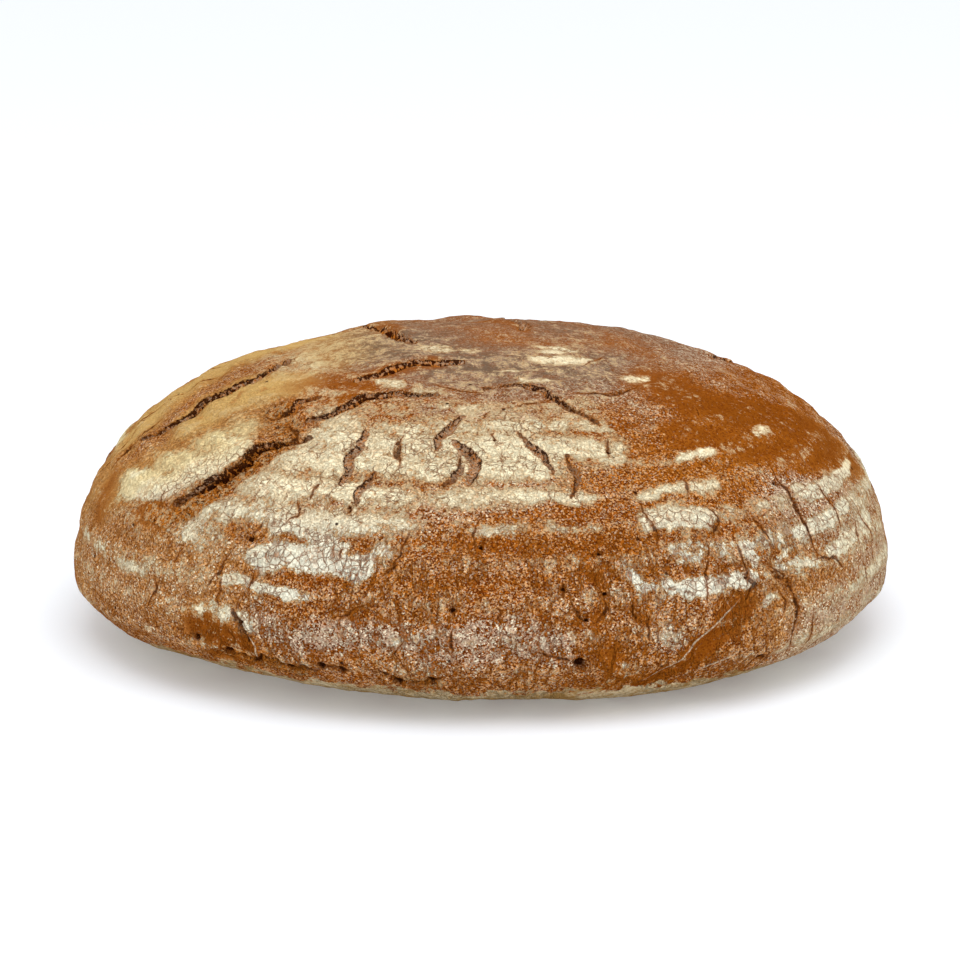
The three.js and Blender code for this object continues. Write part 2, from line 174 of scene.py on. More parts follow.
# Cracks too narrow to part the skin far.
NARROW_WIDTH = 0.95
NARROW_DEPTH = 0.5
NARROW_CRACKS = {
    "crown": [
        [(16, 70), (20, 68), (22, 70)],
        [(9, 72), (14, 70), (18, 68)],
        [(2, 74), (0, 80)],
        [(47, 46), (54, 45), (64, 44)],
        [(-18, 56), (-8, 60), (2, 60)],
        [(27, 93), (26, 98), (26, 101)],
        [(3, 86), (3, 91)],
        [(54, 85), (51, 91)],
    ],
    "front left": [
        [(-36, 136), (-35, 130)],
        [(-31, 121), (-30, 126), (-31, 129)],
        [(-29, 113), (-29, 120)],
        [(-22, 120), (-22, 124)],
        [(-55, 127), (-54, 135)],
        [(-51, 154), (-50, 158), (-52, 165)],
        [(-47, 142), (-48, 149)],
        [(-39, 143), (-40, 148), (-41, 153)],
        [(-34, 147), (-34, 154)],
        [(-39, 150), (-39, 159)],
        [(-22, 160), (-20, 157), (-16, 153)],
        [(-11, 164), (-12, 169), (-10, 175)],
        [(-22, 174), (-19, 175)],
        [(-21, 136), (-21, 140)],
    ],
    "front middle": [
        [(0, 124), (-1, 129), (-1, 135)],
        [(2, 153), (3, 159)],
        [(8, 168), (11, 170), (13, 171)],
        [(12, 145), (12, 151)],
        [(18, 143), (18, 150)],
        [(13, 151), (14, 157), (15, 160)],
        [(18, 149), (18, 156), (16, 160)],
        [(22, 152), (22, 160)],
        [(-4, 160), (-4, 168)],
        [(24, 158), (24, 166)],
    ],
    "front right": [
        [(27, 119), (27, 126), (28, 132), (27, 139)],
        [(37, 113), (36, 119)],
        [(38, 125), (39, 129), (37, 136)],
        [(46, 135), (46, 141)],
        [(35, 137), (34, 144), (33, 150), (33, 157)],
        [(44, 148), (47, 152), (48, 158)],
        [(45, 131), (46, 138), (46, 140)],
        [(40, 138), (40, 144), (40, 151)],
        [(51, 167), (51, 172), (51, 178)],
        [(42, 173), (43, 181)],
        [(45, 156), (46, 160), (45, 164)],
        [(44, 148), (45, 152), (47, 154)],
        [(43, 176), (44, 181)],
        [(37, 130), (38, 134), (37, 136)],
        [(67, 144), (65, 152)],
        [(66, 158), (66, 164)],
        [(62, 128), (63, 136), (62, 144)],
        [(70, 140), (71, 150), (70, 160)],
    ],
}

# Thin pale edges, where a fold has caught flour.
FLOURED_EDGES = {
    "fold's upper edge": Band([(24, 183), (26, 178), (29, 174), (31, 168), (36, 160), (38, 157)], 0.36, 0.8),
    "fold's lower edge": Band([(32, 180), (35, 176), (38, 173)], 0.3, 0.6),
    "bare hollow's edge": Band([(-34, 167), (-33, 171), (-33, 176)], 0.32, 0.5),
}

# Blow-holes: place, radius and depth.
BLOW_HOLES = [
    ((14, 172), 1.8, 3.0),
    ((54, 122), 1.2, 3.0),
    ((-36, 136), 0.95, 2.2),
    ((0, 134), 0.75, 1.8),
    ((-4, 154), 0.82, 1.8),
    ((18, 137), 0.75, 1.8),
    ((18, 150), 0.75, 1.8),
    ((3, 90), 0.75, 1.6),
    ((12, 148), 0.82, 1.6),
    ((15, 158), 0.75, 1.6),
    ((-43, 172), 1.2, 2.2),
    ((-38, 176), 1.7, 2.2),
    ((-36, 178), 1.5, 2.2),
    ((-34, 179), 1.9, 2.2),
    ((-30, 176), 1.5, 2.2),
    ((-28, 178), 1.7, 2.2),
    ((-23, 175), 1.5, 2.2),
    ((-12, 180), 1.7, 2.2),
    ((-7, 178), 1.5, 2.2),
    ((-35, 163), 0.82, 1.8),
    ((42, 178), 1.4, 2.2),
    ((26, 98), 0.82, 1.6),
    ((-22, 121), 0.75, 1.6),
    ((-32, 175), 1.5, 2.2),
    ((-26, 177), 1.4, 2.0),
    ((-20, 176), 1.5, 2.0),
]

# Flour left by the basket, mostly in bands on the coils' ridges.
FLOUR = {
    "haze on the shoulder": Band([(-30, 96), (-10, 98), (8, 98)], 14.0, 0.97),
    "shoulder, left plate": Band([(-16, 88), (-9, 96), (-9, 106)], 5.0, 1.15),
    "shoulder, right plate": Band([(2, 90), (7, 97), (11, 106)], 5.0, 1.15),
    "haze above the shoulder": Band([(-38, 84), (-20, 76), (0, 75), (26, 78)], 9.0, 0.5),
    "haze under the shoulder": Band([(-38, 120), (-26, 126), (-14, 121)], 9.0, 0.88),
    "haze under the shoulder, right": Band([(-8, 118), (4, 115), (14, 113)], 6.0, 0.62),
    "haze beside the gash": Band([(-47, 135), (-41, 127), (-38, 117), (-37, 106)], 8.0, 0.8),
    "haze, left flank": Band([(-72, 148), (-58, 152), (-46, 150), (-38, 154)], 8.0, 0.12),
    "haze, right foot": Band([(52, 178), (64, 172), (78, 164)], 11.0, 0.45),
    "haze, right flank": Band([(34, 134), (46, 142), (64, 142), (78, 146)], 13.0, 0.5),
    "haze beyond the right end": Band([(84, 150), (98, 158), (116, 150)], 15.0, 0.34),
    "haze, crown": Band([(-60, 40), (0, 56), (30, 54), (70, 36)], 26.0, 0.26),
    "haze, upper left": Band([(-70, 60), (-90, 60), (-110, 52)], 16.0, 0.55),
    "slab, lower edge": Band([(-66, 130), (-60, 129), (-55, 124), (-51, 117), (-48, 108)], 6.5, 1.5),
    "slab, middle": Band([(-61, 123), (-56, 112), (-52, 100)], 7.5, 0.9),
    "slab, top": Band([(-66, 104), (-60, 92), (-56, 84)], 7.0, 0.45),
    "shoulder, first coil": Band([(-36, 92), (-25, 87), (-12, 86), (4, 84), (18, 84), (27, 87)], 4.6, 0.8),
    "shoulder, second coil": Band([(-35, 101), (-24, 98), (-10, 99), (4, 96), (16, 97), (27, 99)], 5.6, 1.05),
    "shoulder, third coil": Band([(-35, 108), (-26, 106)], 5.0, 1.0),
    "shoulder, third coil's middle": Band([(3, 104), (12, 104)], 3.6, 0.75),
    "shoulder, fourth coil": Band([(-38, 118), (-26, 113), (-14, 116)], 4.0, 1.1),
    "shoulder, fourth coil's middle": Band([(-5, 113), (2, 114)], 2.4, 0.7),
    "shoulder, fourth coil's end": Band([(7, 115), (13, 117), (19, 118)], 2.8, 1.0),
    "shoulder, fifth coil": Band([(-38, 128), (-30, 126), (-22, 126)], 3.0, 0.72),
    "thin streak, middle": Band([(-1, 129), (5, 128)], 1.6, 0.55),
    "thin streak, right": Band([(11, 128), (19, 129)], 1.6, 0.6),
    "spot under the middle crack": Band([(-9, 134), (-7, 134)], 1.9, 0.8),
    "crackled plates, upper": Band([(-32, 131), (-29, 130), (-26, 134), (-22, 135)], 3.2, 1.55),
    "crackled plates, lower": Band([(-34, 142), (-30, 140), (-26, 141), (-22, 140), (-18, 142)], 3.6, 1.8),
    "crackled plates, right": Band([(-16, 136), (-12, 135)], 2.8, 0.95),
    "white streak": Band([(-38, 150), (-34, 150), (-31, 151), (-27, 152)], 1.7, 1.6),
    "white streak's tail": Band([(-29, 151), (-25, 152)], 1.6, 0.9),
    "left flank, end": Band([(-75, 154), (-71, 153)], 2.6, 0.9),
    "left flank, middle": Band([(-67, 153), (-64, 153)], 2.2, 0.8),
    "left flank, start": Band([(-59, 153), (-53, 154)], 2.4, 0.85),
    "above the bare hollow": Band([(-43, 161), (-39, 161), (-35, 160), (-33, 164)], 2.2, 0.9),
    "right, small upper": Band([(60, 102), (64, 103)], 2.2, 0.8),
    "right, plate on the coil": Band([(28, 126), (32, 126), (36, 128)], 4.2, 1.4),
    "right, coil above": Band([(28, 118), (34, 116), (42, 118)], 2.0, 0.78),
    "right, high coil": Band([(39, 105), (45, 107)], 2.4, 0.9),
    "right, under the plate": Band([(28, 136), (33, 136), (35, 140), (31, 141)], 2.4, 0.7),
    "right, long coil": Band([(30, 151), (35, 150), (41, 150)], 2.4, 1.45),
    "right, long coil's start": Band([(22, 145), (24, 149)], 2.0, 1.3),
    "right, long coil's second": Band([(27, 148), (28, 150)], 2.2, 1.4),
    "right, upright": Band([(42, 140), (42, 146)], 1.8, 1.3),
    "right, on the lobe": Band([(44, 158), (42, 160)], 1.8, 1.3),
    "right, coil's end": Band([(46, 149), (50, 149), (53, 152)], 2.2, 1.0),
    "right end, middle coil": Band([(52, 140), (56, 140), (63, 139), (67, 137)], 2.4, 1.35),
    "right end, upper coil": Band([(57, 126), (59, 130), (65, 130), (80, 131)], 2.4, 1.25),
    "right end, lowest coil": Band([(60, 162), (70, 163), (80, 161)], 2.6, 0.7),
    "right end, strong": Band([(57, 148), (60, 149), (63, 148), (74, 146)], 2.8, 1.7),
    "right end, link": Band([(44, 146), (51, 144)], 2.0, 1.0),
    "right, low spot": Band([(26, 166), (28, 167)], 2.4, 0.6),
    "crown, right patch": Band([(34, 36), (42, 39), (52, 42)], 4.4, 1.0),
    "crown, behind the right patch": Band([(48, 30), (58, 34)], 3.0, 0.85),
    "crown, above the right patch": Band([(53, 25), (60, 31)], 2.6, 0.85),
    "crown, small right": Band([(16, 54), (22, 57)], 2.6, 0.9),
    "crown, left patch": Band([(-40, 28), (-28, 26)], 3.6, 0.8),
    "crown, small left": Band([(-34, 60), (-28, 61)], 3.0, 0.9),
    "crown, back": Band([(-17, 24), (-5, 22)], 2.6, 0.6),
    "crown, far left": Band([(-81, 56), (-86, 46), (-91, 36)], 4.0, 0.6),
    "crown, middle": Band([(-20, 62), (-14, 62)], 2.6, 0.8),
    "crown, front": Band([(-10, 71), (-2, 72)], 3.0, 0.75),
    "crown, right of the tear": Band([(51, 61), (57, 62)], 2.6, 0.9),
    "crown, thin": Band([(8, 44), (15, 46)], 2.2, 0.7),
    "above the shoulder": Band([(-24, 78), (-20, 76)], 2.8, 0.7),
    "upper left, coils": Band([(-50, 74), (-44, 72)], 4.0, 0.55),
}

# Grey dust, finer than the flour.
DUST = {
    "belly, long": Band([(-26, 166), (-17, 163), (-8, 164), (3, 161), (11, 165)], 5.0, 0.8),
    "belly, low": Band([(-8, 170), (6, 168), (12, 170)], 4.0, 0.6),
    "beside the bare hollow": Band([(-33, 160), (-28, 166)], 5.0, 0.7),
    "left foot": Band([(-62, 166), (-50, 170)], 6.0, 0.3),
    "left flank": Band([(-74, 158), (-58, 158), (-40, 152)], 15.0, 0.35),
    "right spot": Band([(26, 166), (28, 167)], 3.4, 1.0),
    "right foot": Band([(52, 178), (64, 172), (78, 162)], 14.0, 1.2),
    "right end": Band([(56, 130), (66, 144), (82, 148)], 15.0, 0.9),
    "beyond the right end": Band([(86, 138), (112, 152)], 22.0, 0.6),
    "right flank": Band([(14, 156), (26, 154), (40, 148)], 10.0, 0.25),
    "shoulder": Band([(-30, 122), (-10, 121), (10, 112)], 9.0, 0.5),
    "crown, back right": Band([(120, 60), (90, 80), (80, 100)], 26.0, 0.7),
    "crown, back": Band([(-110, 34), (-180, 24), (-250, 26)], 20.0, 0.7),
    "crown": Band([(-70, 26), (0, 40), (50, 50)], 24.0, 0.95),
    "crown, front": Band([(-14, 74), (0, 76), (12, 78)], 4.0, 0.7),
    "right shoulder": Band([(40, 86), (52, 78), (64, 66)], 14.0, 0.4),
}

# Skin that baked less and stayed golden.
GOLDEN = {
    "far left shoulder": Band([(-80, 138), (-91, 123), (-104, 108), (-112, 90), (-122, 74)], 20.0, 0.5),
    "behind the shoulder crack": Band([(-84, 118), (-92, 98), (-100, 84), (-112, 66)], 15.0, 1.0),
    "slab's top": Band([(-66, 98), (-66, 86), (-62, 76)], 14.0, 1.0),
    "slab": Band([(-68, 132), (-60, 112), (-54, 98)], 15.0, 0.52),
    "behind the crown tear": Band([(-100, 50), (-70, 46)], 16.0, 0.5),
    "left end": Band([(-84, 140), (-72, 166)], 15.0, 0.35),
    "right end": Band([(80, 120), (84, 140)], 12.0, 0.35),
    "right flank": Band([(50, 168), (62, 160), (84, 146)], 24.0, 0.3),
    "back left": Band([(-128, 62), (-148, 74)], 22.0, 0.3),
    "left flank": Band([(-42, 152), (-64, 156), (-84, 152)], 22.0, 0.3),
}

# Stretched skin that took little dust.
BARE = {
    "hollow, front left": Band([(-42, 167), (-38, 170), (-35, 174)], 6.2, 1.25),
    "hollow's foot": Band([(-40, 177), (-35, 178)], 3.6, 1.1),
    "groove, right of the middle": Band([(15, 138), (18, 149), (16, 160), (19, 170)], 1.3, 0.6),
    "foot, right of the middle": Band([(18, 168), (20, 178), (22, 184)], 4.5, 0.7),
    "fold, front right": Band([(24, 186), (30, 176), (34, 167), (39, 159)], 4.6, 1.0),
    "chestnut shoulder, right": Band([(58, 70), (56, 86), (69, 98), (80, 116)], 14.0, 1.1),
    "chestnut shoulder, low": Band([(44, 96), (60, 112), (84, 128)], 9.0, 1.0),
    "chestnut shoulder, end": Band([(82, 92), (98, 102), (118, 110)], 19.0, 0.58),
    "right, above the coils": Band([(30, 92), (38, 104), (46, 112)], 12.0, 0.4),
    "above the lower crown tear": Band([(-40, 74), (-37, 70), (-35, 65)], 3.5, 0.9),
    "round the upper crown tear": Band([(-41, 60), (-36, 48), (-25, 39)], 4.6, 0.95),
    "round the torn patch": Band([(-48, 82), (-48, 76), (-45, 74)], 3.0, 0.8),
    "ridge, back left": Band([(-132, 50), (-118, 36), (-102, 30)], 5.0, 0.9),
    "ridge, back right": Band([(-177, 21), (-204, 16), (-254, 14)], 3.0, 0.8),
    "crown, left of the tear": Band([(-56, 70), (-48, 62), (-40, 64)], 7.0, 0.6),
    "behind the gash's foot": Band([(-58, 136), (-53, 137)], 5.0, 0.7),
    "middle, under the shoulder": Band([(0, 132), (14, 130), (22, 136)], 7.0, 0.25),
    "left end": Band([(-74, 134), (-70, 142)], 6.0, 0.7),
    "foot, middle": Band([(16, 188), (28, 188)], 6.0, 0.5),
}

# Skin torn open to the crumb.
TORN = {
    "left gash's floor": Band([(-50, 133), (-47, 125), (-44, 115), (-43, 107), (-40, 101)], 3.0, 1.0),
    "patch at the gash's head": Band([(-50, 86), (-46, 89), (-42, 94)], 5.0, 0.75),
    "gash's foot": Band([(-56, 135), (-52, 136)], 3.0, 0.9),
    "hollow's foot": Band([(-38, 176), (-35, 178)], 2.6, 0.9),
    "left foot": Band([(-33, 179), (-27, 179)], 3.0, 0.9),
    "middle foot": Band([(-12, 179), (-6, 179)], 2.5, 0.7),
    "shoulder crack's bank": Band([(-74, 112), (-71, 100), (-72, 84), (-78, 68)], 1.4, 0.2),
}


def smooth(x):
    """Smooth step from 0 to 1."""
    x = np.clip(x, 0.0, 1.0)
    return x * x * (3.0 - 2.0 * x)


class Form:
    """The plain loaf, before the oven tore it."""

    STEPS = 400

    def __init__(self, length, depth, height):
        self.half_length = length / 2
        self.half_depth = depth / 2
        rise = height - GIRTH_HEIGHT
        angle = np.linspace(math.pi / 2, 0.0, self.STEPS)
        dome_share = np.cos(angle).clip(0.0) ** (2 / DOME_POWER)
        dome_height = GIRTH_HEIGHT + rise * np.sin(angle).clip(0.0) ** (2 / DOME_POWER)
        dome_share[0] = 0.0
        angle = np.linspace(0.0, math.pi / 2, self.STEPS)[1:]
        under_share = FOOT_SHARE + (1 - FOOT_SHARE) * np.cos(angle).clip(0.0) ** (2 / UNDERCUT_POWER)
        under_height = GIRTH_HEIGHT * (1 - np.sin(angle) ** (2 / UNDERCUT_POWER))
        sole_share = np.linspace(FOOT_SHARE, 0.0, self.STEPS)[1:]
        self.share = np.concatenate([dome_share, under_share, sole_share])
        self.height = np.concatenate([dome_height, under_height, np.zeros(self.STEPS - 1)])
        mean_radius = (self.half_length + self.half_depth) / 2
        steps = np.hypot(np.diff(self.share) * mean_radius, np.diff(self.height))
        self.down = np.concatenate([[0.0], np.cumsum(steps)])
        self.foot_down = self.down[2 * self.STEPS - 2]
        self.share_slope = np.gradient(self.share, self.down)
        self.height_slope = np.gradient(self.height, self.down)
        girth = self.share * np.where(self.down > self.foot_down, SOLE_WEIGHT, 1.0)
        area = np.concatenate([[0.0], np.cumsum(0.5 * (girth[1:] + girth[:-1]) * steps)])
        self.area = area / area[-1]

    def plan_radius(self, turn):
        """Radius of the girth at a turn, and how fast it grows with the turn, in radians."""
        sine, cosine = np.sin(np.radians(turn)), np.cos(np.radians(turn))
        along = np.abs(sine / self.half_length)
        across = np.abs(cosine / self.half_depth)
        total = along**PLAN_POWER + across**PLAN_POWER
        radius = total ** (-1 / PLAN_POWER)
        along_slope = along ** (PLAN_POWER - 1) * np.sign(sine) * cosine / self.half_length
        across_slope = across ** (PLAN_POWER - 1) * np.sign(cosine) * -sine / self.half_depth
        return radius, -radius / total * (along_slope + across_slope)

    def points(self, turn, down):
        radius = self.plan_radius(turn)[0] * np.interp(down, self.down, self.share)
        angle = np.radians(turn)
        height = np.interp(down, self.down, self.height)
        return np.stack([radius * np.sin(angle), -radius * np.cos(angle), height], axis=-1)

    def normals(self, turn, down):
        radius, growth = self.plan_radius(turn)
        sine, cosine = np.sin(np.radians(turn)), np.cos(np.radians(turn))
        level = np.zeros_like(radius)
        around = np.stack([growth * sine + radius * cosine, -growth * cosine + radius * sine, level], axis=-1)
        inwards = radius * np.interp(down, self.down, self.share_slope)
        drop = np.interp(down, self.down, self.height_slope)
        downwards = np.stack([inwards * sine, -inwards * cosine, drop], axis=-1)
        normal = np.cross(downwards, around)
        return normal / np.linalg.norm(normal, axis=-1, keepdims=True)

    def place(self, vertices):
        """Turn and down for the vertices of a unit ball, so that its triangles keep their shares of area."""
        directions = np.array([v.co for v in vertices])
        turn = np.degrees(np.arctan2(directions[:, 0], -directions[:, 1]))
        share = (1.0 - directions[:, 2].clip(-1.0, 1.0)) / 2
        return turn, np.interp(share, self.area, self.down)


# ---------------------------------------------------------------- strokes on the crust

ROUTE_STEP = 0.5  # millimetres between a stroke's points
AWAY_FROM_FRONT = np.array([0.0, 0.5, 0.0])  # turns the strokes' upper side away from the front


class Route:
    """A stroke's middle line as close points, with one way across it, up the crust or away from the front."""

    def __init__(self, form, path, rng=None, wander=0.0):
        corners = np.array(path, dtype=float)
        rough = form.points(corners[:, 0], corners[:, 1])
        lengths = np.linalg.norm(np.diff(rough, axis=0), axis=1)
        marks = np.concatenate([[0.0], np.cumsum(lengths)])
        self.length = max(marks[-1], ROUTE_STEP)
        count = max(3, int(self.length / ROUTE_STEP) + 1)
        where = np.linspace(0.0, marks[-1], count)
        turn = np.interp(where, marks, corners[:, 0])
        down = np.interp(where, marks, corners[:, 1])
        self.points = form.points(turn, down)
        along = np.gradient(self.points, axis=0)
        along /= np.linalg.norm(along, axis=1, keepdims=True) + 1e-9
        across = np.cross(form.normals(turn, down), along)
        uphill = form.points(turn, np.maximum(down - 1.0, 0.0)) - self.points + AWAY_FROM_FRONT
        across *= np.sign((across * uphill).sum() + 1e-9)
        self.across = across / (np.linalg.norm(across, axis=1, keepdims=True) + 1e-9)
        self.share = np.linspace(0.0, 1.0, count)
        if wander:
            self.points = self.points + self.across * self._wander(rng, count, wander)[:, None]

    def _wander(self, rng, count, wander):
        """A ragged sideways drift that is nothing at both ends."""
        drift = np.zeros(count)
        for wave, strength in ((7.0, 0.55), (3.1, 0.35), (1.5, 0.2)):
            knots = max(4, int(self.length / wave) + 3)
            heights = np.array([rng.uniform(-1.0, 1.0) for _ in range(knots)])
            drift += strength * np.interp(self.share * (knots - 1), np.arange(knots), heights)
        return wander * drift * np.sin(math.pi * self.share) ** 0.4

    def near(self, spots, reach):
        """Indices of the spots within reach, their distances, signed distances across, and shares."""
        low = self.points.min(axis=0) - reach
        high = self.points.max(axis=0) + reach
        index = np.flatnonzero(((spots > low) & (spots < high)).all(axis=1))
        close = spots[index]
        distance = np.full(len(index), np.inf)
        nearest = np.zeros(len(index), dtype=int)
        for number, point in enumerate(self.points):
            gap = ((close - point) ** 2).sum(axis=1)
            closer = gap < distance
            distance[closer] = gap[closer]
            nearest[closer] = number
        distance = np.sqrt(distance)
        side = ((close - self.points[nearest]) * self.across[nearest]).sum(axis=1)
        keep = distance < reach
        return index[keep], distance[keep], side[keep], self.share[nearest[keep]]


def stroke_field(form, bands, spots, softness=0.5):
    """The strongest of several strokes at each spot.

    A stroke fades round its half width, by the softness's share of it to each side.
    """
    field = np.zeros(len(spots))
    for band in bands:
        reach = band.half * (1.0 + softness)
        index, distance, _, _ = Route(form, band.path).near(spots, reach)
        value = band.amount * smooth((reach - distance) / (reach - band.half * (1.0 - softness)))
        field[index] = np.maximum(field[index], value)
    return field


def bent(spots, size, amount, seed):
    """The spots moved by cloudy noise, so that strokes laid on them get uneven edges."""
    shifts = [lumps(spots, size, 2, seed + k) for k in range(3)]
    return spots + amount * np.stack(shifts, axis=-1)


# ---------------------------------------------------------------- the crust's relief

WAVES = 9
GOLDEN_ANGLE = math.radians(137.5)


def unevenness(points):
    """Hand-shaped dough is never even: a few long waves in directions spread by the golden angle."""
    total = np.zeros(len(points))
    for i in range(WAVES):
        bearing = i * GOLDEN_ANGLE
        tilt = math.asin(1 - (2 * i + 1) / WAVES)
        length = 100 / (1 + 0.32 * i)
        across = math.cos(tilt) * (points[:, 0] * math.cos(bearing) + points[:, 1] * math.sin(bearing))
        phase = (across + math.sin(tilt) * points[:, 2]) / length + i * 0.37
        total += np.sin(2 * math.pi * phase) * (0.4 / (1 + 0.25 * i))
    return total


def lumps(points, size, octaves, seed):
    """Cloudy noise between about -1 and 1, with its largest lumps of this size."""
    shift = Vector((seed * 17.3, seed * 5.1, seed * 11.7))
    values = [noise.fractal(Vector(p) / size + shift, 0.8, 2.0, octaves) for p in points]
    return np.array(values)


LIFT_REACH = 9.0
SEAM_REACH = 3.0
BLUNT_WIDTH = 2.0  # a crack of at least this width has blunt ends
CUT_WALL = 0.9  # the least half width of a cut in the mesh
FULL_HOLE = 3.0  # a cut of this depth counts as a full hole

# Cracks and flour scattered over the back and the ends: how many, and from and to which turn, down or coil.
CRACKS_BEHIND = 46
CRACK_TURNS = (84.0, 276.0)
CRACK_DOWNS = (60.0, 184.0)
FLOUR_BEHIND = 70
FLOUR_TURNS = (86.0, 274.0)
FLOUR_COILS = (7, 14)
CLEAR_CROWN = 118.0  # above this the scattered flour keeps to the back
CLEAR_ENDS = 58.0  # degrees to each side of the back


def seam_fade(distance):
    """Full near a crack, and nothing where its reach ends."""
    return smooth((SEAM_REACH - distance) / (SEAM_REACH * 0.4))


class Crust:
    """All the values that the mesh needs at its vertices, for one set of places on the form."""

    def __init__(self, form, turn, down, sizes):
        self.form = form
        self.down = down
        self.spots = form.points(turn, down)
        self.normals = form.normals(turn, down)
        self.rng = random.Random(sizes.seed)
        self.rise = np.zeros(len(turn))
        self.seam = np.full(len(turn), SEAM_REACH)
        self.seam_distance = np.full(len(turn), np.inf)
        self.seam_half = np.zeros(len(turn))
        self.edge = np.full(len(turn), SEAM_REACH)
        self.edge_half = np.zeros(len(turn))
        self.cut = np.zeros(len(turn))
        self.blown = np.full(len(turn), -1.0)
        self.above_foot = smooth((form.foot_down - down) / COIL_PITCH)
        self.swell()
        self.coil(sizes.coil_relief)
        self.torn = stroke_field(form, TORN.values(), self.spots)
        self.bare = stroke_field(form, BARE.values(), self.spots, softness=0.7)
        self.tear(sizes.crack_ragged)
        self.floured_edges()
        self.blow_holes()
        self.grain(sizes.grain_relief)
        bent_spots = bent(self.spots, size=9.0, amount=2.2, seed=5)
        self.flour = stroke_field(form, FLOUR.values(), bent_spots, softness=0.8)
        self.dust = stroke_field(form, DUST.values(), bent_spots, softness=0.9)
        self.dust *= 1.0 - 0.8 * np.minimum(self.bare, 1.0)
        self.golden = stroke_field(form, GOLDEN.values(), bent_spots, softness=0.8)
        self.scatter_behind(bent_spots)

    def distance_from(self, place):
        middle = self.form.points(np.array([place[0]]), np.array([place[1]]))
        return np.linalg.norm(self.spots - middle, axis=1)

    def swell(self):
        for place, reach, rise in SWELLINGS.values():
            self.rise += rise * np.exp(-((self.distance_from(place) / reach) ** 2))
        for band in SUNK_BANDS.values():
            index, distance, _, _ = Route(self.form, band.path).near(self.spots, band.half * 2.5)
            self.rise[index] -= band.amount * np.exp(-((distance / band.half) ** 2))
        self.rise += unevenness(self.spots)

    def coil(self, relief):
        fade_in = smooth((self.down - COILS_START) / COIL_PITCH)
        fade_out = smooth((COILS_END - self.down) / COIL_PITCH)
        self.coils = np.cos(2 * math.pi * self.down / COIL_PITCH) * fade_in * fade_out
        self.rise += relief * self.coils

    def tear(self, ragged):
        """Cuts the gashes and the narrow cracks, and raises the gashes' upper edges."""
        for gash in GASHES.values():
            route = Route(self.form, gash.path, self.rng, ragged * min(1.0, gash.width / 2))
            self.cut_along(route, gash.width, gash.depth)
            if gash.lift:
                self.lift_along(route, gash.lift)
        for group in NARROW_CRACKS.values():
            for path in group:
                self.narrow_crack(path, ragged, 1.3)
        for path in self.cracks_behind():
            self.narrow_crack(path, ragged, 1.5)

    def narrow_crack(self, path, ragged, widest):
        width = NARROW_WIDTH * self.rng.uniform(0.7, widest)
        self.cut_along(Route(self.form, path, self.rng, ragged * 0.8), width, NARROW_DEPTH)

    def cracks_behind(self):
        """Cracks for the back and the ends: they wander down the flank, as those of the front do."""
        for _ in range(CRACKS_BEHIND):
            turn = self.rng.uniform(*CRACK_TURNS)
            down = self.rng.uniform(*CRACK_DOWNS)
            path = [(turn, down)]
            for _ in range(self.rng.randint(2, 5)):
                turn += self.rng.uniform(-2.2, 2.2)
                down += self.rng.uniform(3.0, 6.0)
                path.append((turn, down))
            yield path

    def cut_along(self, route, width, depth):
        """Cuts a crack, and keeps for the material each spot's place across it and its half width there."""
        index, distance, side, share = route.near(self.spots, SEAM_REACH)
        blunt, power = (0.02, 0.55) if width < BLUNT_WIDTH else (0.08, 0.32)
        taper = np.sin(math.pi * share.clip(blunt, 1.0 - blunt)) ** power
        half = width / 2 * taper
        closer = distance < self.seam_distance[index]
        chosen = index[closer]
        self.seam_distance[chosen] = distance[closer]
        self.seam[chosen] = side[closer]
        self.seam_half[chosen] = (half * seam_fade(distance))[closer]
        profile = 1.0 - smooth((distance / np.maximum(half, CUT_WALL) - 0.3) / 0.9)
        narrowing = np.minimum(1.0, (half / CUT_WALL) ** 1.5)
        self.cut[index] = np.maximum(self.cut[index], depth * taper * profile * narrowing)

    def lift_along(self, route, lift):
        index, distance, side, share = route.near(self.spots, LIFT_REACH * 2.2)
        along = np.sin(math.pi * share.clip(0.15, 0.85))
        bank = smooth(side / 1.2 + 0.5)
        self.rise[index] += lift * along * bank * np.exp(-((distance / LIFT_REACH) ** 2))

    def floured_edges(self):
        for band in FLOURED_EDGES.values():
            route = Route(self.form, band.path, self.rng, wander=0.3)
            index, distance, side, share = route.near(self.spots, SEAM_REACH)
            taper = np.sin(math.pi * share.clip(0.02, 0.98)) ** 0.4
            self.edge[index] = side
            self.edge_half[index] = band.half * seam_fade(distance) * taper
            self.rise[index] += 0.5 * band.amount * np.exp(-((distance / 0.9) ** 2))

    def blow_holes(self):
        for place, radius, depth in BLOW_HOLES:
            apart = self.distance_from(place) / radius
            mouth = 1.0 - smooth((apart - 0.55) / 0.75)
            self.cut = np.maximum(self.cut, depth * mouth)
            self.blown = np.maximum(self.blown, 1.0 - apart)

    def grain(self, relief):
        """Lumpy skin, rougher where it is torn and calmer where it is bare."""
        rough = 1.0 + 2.2 * self.torn - 0.7 * self.bare
        coarse = lumps(self.spots, size=9.0, octaves=2, seed=1)
        fine = lumps(self.spots, size=2.6, octaves=3, seed=2)
        self.rise += relief * (0.9 * coarse + 0.55 * rough * fine)
        self.cut *= 1.0 + 0.35 * lumps(self.spots, size=2.2, octaves=2, seed=3)
        self.rise -= self.cut
        self.hole = (self.cut / FULL_HOLE).clip(0.0, 1.0)

